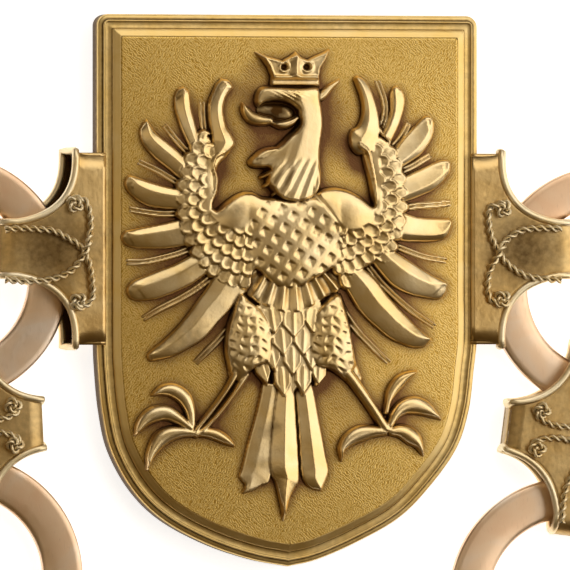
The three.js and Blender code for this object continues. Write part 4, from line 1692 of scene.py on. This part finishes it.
def rope(lines):
    """Points in mm and faces of the two-strand rope laid along each line."""
    data = bpy.data.curves.new("rope_path", "CURVE")
    data.dimensions = "3D"
    for line in lines:
        spline = data.splines.new("POLY")
        spline.points.add(len(line) - 1)
        for point, place in zip(spline.points, line):
            point.co = (*[c * MM for c in place], 1.0)
    path = bpy.data.objects.new("rope_path", data)
    bpy.context.collection.objects.link(path)
    modifier = path.modifiers.new("rope", "NODES")
    modifier.node_group = ROPE_TREE
    sockets = [item for item in ROPE_TREE.interface.items_tree if item.in_out == "INPUT"]
    names = {item.name: item.identifier for item in sockets}
    modifier[names["Strand Radius"]] = ROPE_RADIUS / 2 * MM
    modifier[names["Lay"]] = ROPE_LAY * MM
    modifier[names["Step"]] = ROPE_STEP * MM
    modifier[names["Metal"]] = WIRE_GILT
    shown = path.evaluated_get(bpy.context.evaluated_depsgraph_get())
    mesh = bpy.data.meshes.new_from_object(shown)
    points = np.zeros(len(mesh.vertices) * 3)
    mesh.vertices.foreach_get("co", points)
    faces = [tuple(polygon.vertices) for polygon in mesh.polygons]
    bpy.data.objects.remove(path)
    return points.reshape(-1, 3) / MM, faces


# Height of the ropes' middle. The two of a cuff cross, and the upper one rises there.
ROPE_Z = CUFF_TOP + 0.5
CROSSING_RISE = 0.9
# A coiled knot loses this share of its radius towards its middle, and rises this much between.
KNOT_CLOSING = 0.72
KNOT_RISE = 0.25


def coil(centre, start_angle, turns, outer, way):
    """A flat coil of rope, from its middle outwards, as four points to a turn."""
    line = []
    count = int(turns * 16)
    for i in range(count + 1):
        t = i / count
        angle = start_angle + way * 2 * math.pi * turns * t
        radius = outer * (1 - KNOT_CLOSING * t)
        x = centre[0] + radius * math.cos(angle)
        y = centre[1] + radius * math.sin(angle)
        line.append((x, y, ROPE_Z + KNOT_RISE * math.sin(math.pi * t)))
    return line[::-4]


# Ropes of the shield's cuffs, each from the coiled knot in which it ends.
SIDE_KNOT_TURNS = 1.6
SIDE_KNOT_OUTER = 1.45
SIDE_ROPES = {
    "left": [
        {
            "knot": (77.5, 205.0),
            "knot_from": 15.0,
            "way": 1,
            "line": [
                (89, 205), (92, 218), (92, 232), (89, 244), (84, 257), (76, 268), (66, 275),
                (54, 279), (40, 281), (25, 281), (8, 280),
            ],
            "over": 3,
        },
        {
            "knot": (80.5, 301.0),
            "knot_from": -10.0,
            "way": -1,
            "line": [
                (94, 297), (94, 283), (92, 268), (88, 256), (80, 245), (70, 239), (57, 232),
                (44, 230), (25, 229), (8, 230),
            ],
            "over": -1,
        },
    ],
    "right": [
        {
            "knot": (502.5, 209.0),
            "knot_from": 180.0,
            "way": -1,
            "line": [
                (489, 209), (489, 224), (492, 238), (499, 252), (507, 263), (517, 271), (528, 276),
                (545, 279), (562, 280),
            ],
            "over": -1,
        },
        {
            "knot": (501.5, 298.5),
            "knot_from": 180.0,
            "way": 1,
            "line": [
                (489, 296), (488, 282), (491, 268), (499, 252), (506, 241), (516, 233), (528, 229),
                (545, 228), (562, 229),
            ],
            "over": 3,
        },
    ],
}


# How much narrower the side cuffs' sheet is at the shield than at its wings.
DRAWN_IN = 0.7
# The left sheet dips towards the shield from this far out.
DIP_FROM = 36.5
DIP_SLOPE = 0.055
# How far out the ropes of a side cuff cross, and how far round that the painted shade and soot under the
# crossing reach.
CROSSING_OUT = 40.0
CROSSING_SOOT_AND_SHADE = 7.5


def on_side(points, faces, side):
    """Moves a cuff made for the right of the shield to its height and its side."""
    points[:, 0] *= side
    points[:, 1] += SIDE_CUFF["centre_y"]
    return points, outward(points, faces)


def side_sheet(side, word):
    """The folded sheet of one of the shield's cuffs. side is -1 for the left and 1 for the right."""
    cuff = SIDE_CUFF
    path = fold_path(cuff)
    out = path[:, 0] - np.where(path[:, 1] < CUFF_TOP / 2, BACK_OUT, 0.0)
    across_wing = np.clip((out - cuff["front_from"]) / (cuff["wing"] - cuff["front_from"]), 0, 1)
    half = np.where(
        out < cuff["wing"],
        cuff["wing_half"] - DRAWN_IN * (1 - across_wing**4),
        hollow_half_width(cuff, out),
    )
    if side < 0:
        near_shield = (path[:, 1] > CUFF_TOP / 2) & (path[:, 0] < DIP_FROM)
        path[near_shield, 1] -= DIP_SLOPE * (DIP_FROM - path[near_shield, 0])
    sheet = sheet_skin(path, half - 0.1)
    walls = straight_walls(cuff["front_from"], cuff["wing"], cuff["wing_half"] - 0.75)
    points, faces = joined([sheet] + walls)
    # Painted shade and soot: darker round the place where the ropes cross over the sheet, and fully dark
    # inside the fold, where shade falls.
    from_crossing = np.hypot(points[:, 0] - CROSSING_OUT, points[:, 1])
    shade_and_soot = np.clip(0.06 + 0.6 * np.exp(-((from_crossing / CROSSING_SOOT_AND_SHADE) ** 2)), 0, 1)
    covered = (points[:, 2] > SHEET * 0.6) & (points[:, 2] < CUFF_TOP - SHEET * 0.8)
    shade_and_soot[covered & (points[:, 0] < cuff["end"] - 5.0)] = 1.0
    points, faces = on_side(points, faces, side)
    piece(f"side_cuff_{word}", points, faces, CUFF_GILT, ["shield"], shade_and_soot)


def side_rims(side, word):
    """The rolled wire along both hollowed edges of one of the shield's cuffs."""
    rims = [tube(rim_loop(SIDE_CUFF, way, BACK_OUT), RIM_RADIUS, 10, closed=True) for way in (-1, 1)]
    points, faces = on_side(*joined(rims), side)
    shade_and_soot = np.full(len(points), 0.1)
    piece(f"side_cuff_{word}_rims", points, faces, WIRE_GILT, ["shield"], shade_and_soot)


def side_ropes(word):
    """The two ropes on one of the shield's cuffs."""
    lines = []
    for row in SIDE_ROPES[word]:
        centre = placed(*row["knot"], ROPE_Z)
        start_angle = math.radians(row["knot_from"])
        knot = coil(centre, start_angle, SIDE_KNOT_TURNS, SIDE_KNOT_OUTER, row["way"])
        run = []
        for i, (px, py) in enumerate(row["line"]):
            rise = CROSSING_RISE if i == row["over"] else 0.0
            x, y = placed(px, py, ROPE_Z)
            run.append((float(x), float(y), ROPE_Z + rise))
        lines.append(curve_through(knot + run, steps=8))
    points, faces = rope(lines)
    shade_and_soot = rope_shade_and_soot(points, lines)
    piece(f"side_cuff_{word}_ropes", points, faces, WIRE_GILT, ["shield"], shade_and_soot)


def rope_shade_and_soot(points, lines):
    """Painted shade and soot in the groove between the strands, darker the nearer it is to the rope's
    middle.
    """
    spine = np.vstack(lines)
    dark = np.zeros(len(points))
    for start in range(0, len(points), BLOCK):
        block = points[start : start + BLOCK]
        distance = np.sqrt(((block[:, None] - spine[None]) ** 2).sum(2)).min(1)
        dark[start : start + BLOCK] = np.clip(0.75 - distance / (ROPE_RADIUS * 0.6), 0, 1)
    return dark


# A rope on one end of a double cuff, about the cuff's middle, and its coiled knot. The end's other
# rope mirrors it, but lies flat where they cross.
LINK_ROPE = [
    (1.4, 9.2), (1.0, 6.0), (1.6, 2.6), (3.8, -0.2), (6.4, -2.6), (9.2, -3.6), (12.5, -3.7),
    (15.0, -3.6),
]
LINK_KNOT = (3.1, 9.2)
LINK_KNOT_TURNS = 1.5
LINK_KNOT_OUTER = 1.4


def link_parts():
    """Sheet, rims and ropes of one double cuff, each as name, points, faces, painted shade and soot, and
    material.
    """
    path = closed_path(LINK)
    out = np.abs(path[:, 0])
    half = np.where(out < LINK["wing"], LINK["wing_half"], hollow_half_width(LINK, out))
    sheet = sheet_skin(path, half - 0.1, round_path=True)
    walls = straight_walls(-LINK["wing"], LINK["wing"], LINK["wing_half"] - 0.55)
    sheet_points, sheet_faces = joined([sheet] + walls)
    sheet_recess = np.full(len(sheet_points), 0.3)
    rims = []
    for end in (-1, 1):
        for way in (-1, 1):
            points, faces = tube(rim_loop(LINK, way), RIM_RADIUS, 8, closed=True)
            points[:, 0] *= end
            if end < 0:
                faces = [tuple(reversed(face)) for face in faces]
            rims.append((points, faces))
    rim_points, rim_faces = joined(rims)
    lines = []
    for end in (-1, 1):
        for way in (1, -1):
            centre = (LINK_KNOT[0], way * LINK_KNOT[1])
            knot = coil(centre, math.pi, LINK_KNOT_TURNS, LINK_KNOT_OUTER, -way)
            run = [(x, way * y, ROPE_Z) for x, y in LINK_ROPE]
            if way > 0:
                run[3] = (*run[3][:2], ROPE_Z + CROSSING_RISE)
            line = curve_through(knot + run[1:], steps=6)
            line[:, 0] *= end
            lines.append(line)
    rope_points, rope_faces = rope(lines)
    return [
        ("sheet", sheet_points, sheet_faces, sheet_recess, CUFF_GILT),
        ("rims", rim_points, rim_faces, np.full(len(rim_points), 0.1), WIRE_GILT),
        ("ropes", rope_points, rope_faces, rope_shade_and_soot(rope_points, lines), WIRE_GILT),
    ]


def middle_of(node):
    low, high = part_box(node)
    return (low + high) / 2 / MM


RING_COUNT = 18
RING_INNER = 13.7
RING_OUTER = 20.4
RING_LOW = 1.4
RING_HIGH = 3.2

# The ring's section: distance from its middle and height, from the inner underside round.
RING_SECTION = [
    (RING_INNER + 0.25, RING_LOW),
    (RING_OUTER - 0.25, RING_LOW),
    (RING_OUTER - 0.06, RING_LOW + 0.08),
    (RING_OUTER, RING_LOW + 0.3),
    (RING_OUTER, RING_HIGH - 0.5),
    (RING_OUTER - 0.1, RING_HIGH - 0.22),
    (RING_OUTER - 0.45, RING_HIGH - 0.06),
    (RING_OUTER - 1.2, RING_HIGH),
    (RING_INNER + 2.6, RING_HIGH),
    (RING_INNER + 1.0, RING_HIGH - 0.04),
    (RING_INNER + 0.5, RING_HIGH - 0.16),
    (RING_INNER + 0.12, RING_HIGH - 0.4),
    (RING_INNER, RING_HIGH - 0.7),
    (RING_INNER, RING_LOW + 0.25),
]
RING_STEPS = 112


def rings():
    for number in range(1, RING_COUNT + 1):
        node = f"ring_{number:02d}"
        middle = middle_of(node)
        sections = []
        for k in range(RING_STEPS):
            a = 2 * math.pi * k / RING_STEPS
            c, s = math.cos(a), math.sin(a)
            sections.append([(middle.x + r * c, middle.y + r * s, z) for r, z in RING_SECTION])
        points, faces = skin(sections, round_path=True)
        piece(f"{node}_rubbed", points, faces, RING_METAL, [node])


def links():
    parts = link_parts()
    for number in range(1, RING_COUNT):
        here = middle_of(f"ring_{number:02d}")
        there = middle_of(f"ring_{number + 1:02d}")
        node = f"link_{number:02d}"
        middle = middle_of(node)
        heading = math.atan2(there.y - here.y, there.x - here.x)
        c, s = math.cos(heading), math.sin(heading)
        for word, points, faces, shade_and_soot, material in parts:
            turned = np.column_stack([
                middle.x + points[:, 0] * c - points[:, 1] * s,
                middle.y + points[:, 0] * s + points[:, 1] * c,
                points[:, 2],
            ])
            piece(f"{node}_{word}", turned, faces, material, [node], shade_and_soot)


shield_plate()
shield_field()
eagle()
for which, title in ((-1, "left"), (1, "right")):
    side_sheet(which, title)
    side_rims(which, title)
    side_ropes(title)
rings()
links()


# Floor, light and camera

FLOOR_HALF = 2.5


def floor():
    mesh = bpy.data.meshes.new("floor")
    corners = [(FLOOR_HALF * x, FLOOR_HALF * y, 0) for x, y in ((-1, -1), (1, -1), (1, 1), (-1, 1))]
    mesh.from_pydata(corners, [], [(0, 1, 2, 3)])
    mesh.materials.append(FLOOR_BOARD)
    made = bpy.data.objects.new("floor", mesh)
    bpy.context.collection.objects.link(made)


# Softboxes, each turned to the origin: name, place and size in metres, power in watts and colour.
SOFTBOXES = [
    ("right", (0.38, 0.00, 0.30), (0.44, 0.60), 1.25, "#fffaf2"),
    ("left", (-0.25, 0.00, 0.30), (0.12, 0.50), 0.12, "#fff2dc"),
    ("top", (0.08, 0.34, 0.33), (0.50, 0.38), 0.85, "#fffaf2"),
]

# The room as seen in the metal: height of the line of sight, from level to straight up, and colour.
ROOM = [(0.0, "#3a2c16"), (0.5, "#4c3b1e"), (0.85, "#5a4826"), (1.0, "#66532e")]


def softboxes():
    for name, place, size, power, colour in SOFTBOXES:
        data = bpy.data.lights.new(name, "AREA")
        data.shape = "RECTANGLE"
        data.size, data.size_y = size
        data.energy = power
        data.color = linear(colour)[:3]
        made = bpy.data.objects.new(name, data)
        made.location = place
        made.rotation_euler = (-made.location).to_track_quat("-Z", "Y").to_euler()
        bpy.context.collection.objects.link(made)
        made.visible_camera = False


def room():
    """The dim warm room that the metal mirrors, and plain colours in the picture."""
    world = bpy.data.worlds.new("room")
    world.use_nodes = True
    tree = world.node_tree
    sight = add(tree, "ShaderNodeTexCoord").outputs["Generated"]
    level = add(tree, "ShaderNodeSeparateXYZ", {"Vector": sight}).outputs["Z"]
    shades = add(tree, "ShaderNodeValToRGB", {"Fac": level}, stops=ROOM)
    tree.links.new(shades.outputs["Color"], tree.nodes["Background"].inputs["Color"])
    bpy.context.scene.world = world
    bpy.context.scene.view_settings.view_transform = "Standard"


CAMERA_DISTANCE = 1.6
FRAME_WIDTH = 0.095
SENSOR_WIDTH = 36.0
PICTURE_CENTRE = (285.0, 285.0)


def camera():
    """Above the floor, tilted 12 degrees from upright towards -X, as in the photograph."""
    data = bpy.data.cameras.new("camera")
    data.sensor_width = SENSOR_WIDTH
    data.lens = SENSOR_WIDTH * CAMERA_DISTANCE / FRAME_WIDTH
    data.clip_start = 0.05
    data.clip_end = 20.0
    made = bpy.data.objects.new("camera", data)
    x, y = placed(*PICTURE_CENTRE, 0.0)
    target = Vector((float(x) * MM, float(y) * MM, 0.0))
    right = Vector((math.cos(TILT), 0.0, math.sin(TILT)))
    up = Vector((0.0, 1.0, 0.0))
    back = right.cross(up)
    made.location = target + back * CAMERA_DISTANCE
    made.rotation_euler = Matrix((right, up, back)).transposed().to_euler()
    bpy.context.collection.objects.link(made)
    bpy.context.scene.camera = made


floor()
softboxes()
room()
camera()
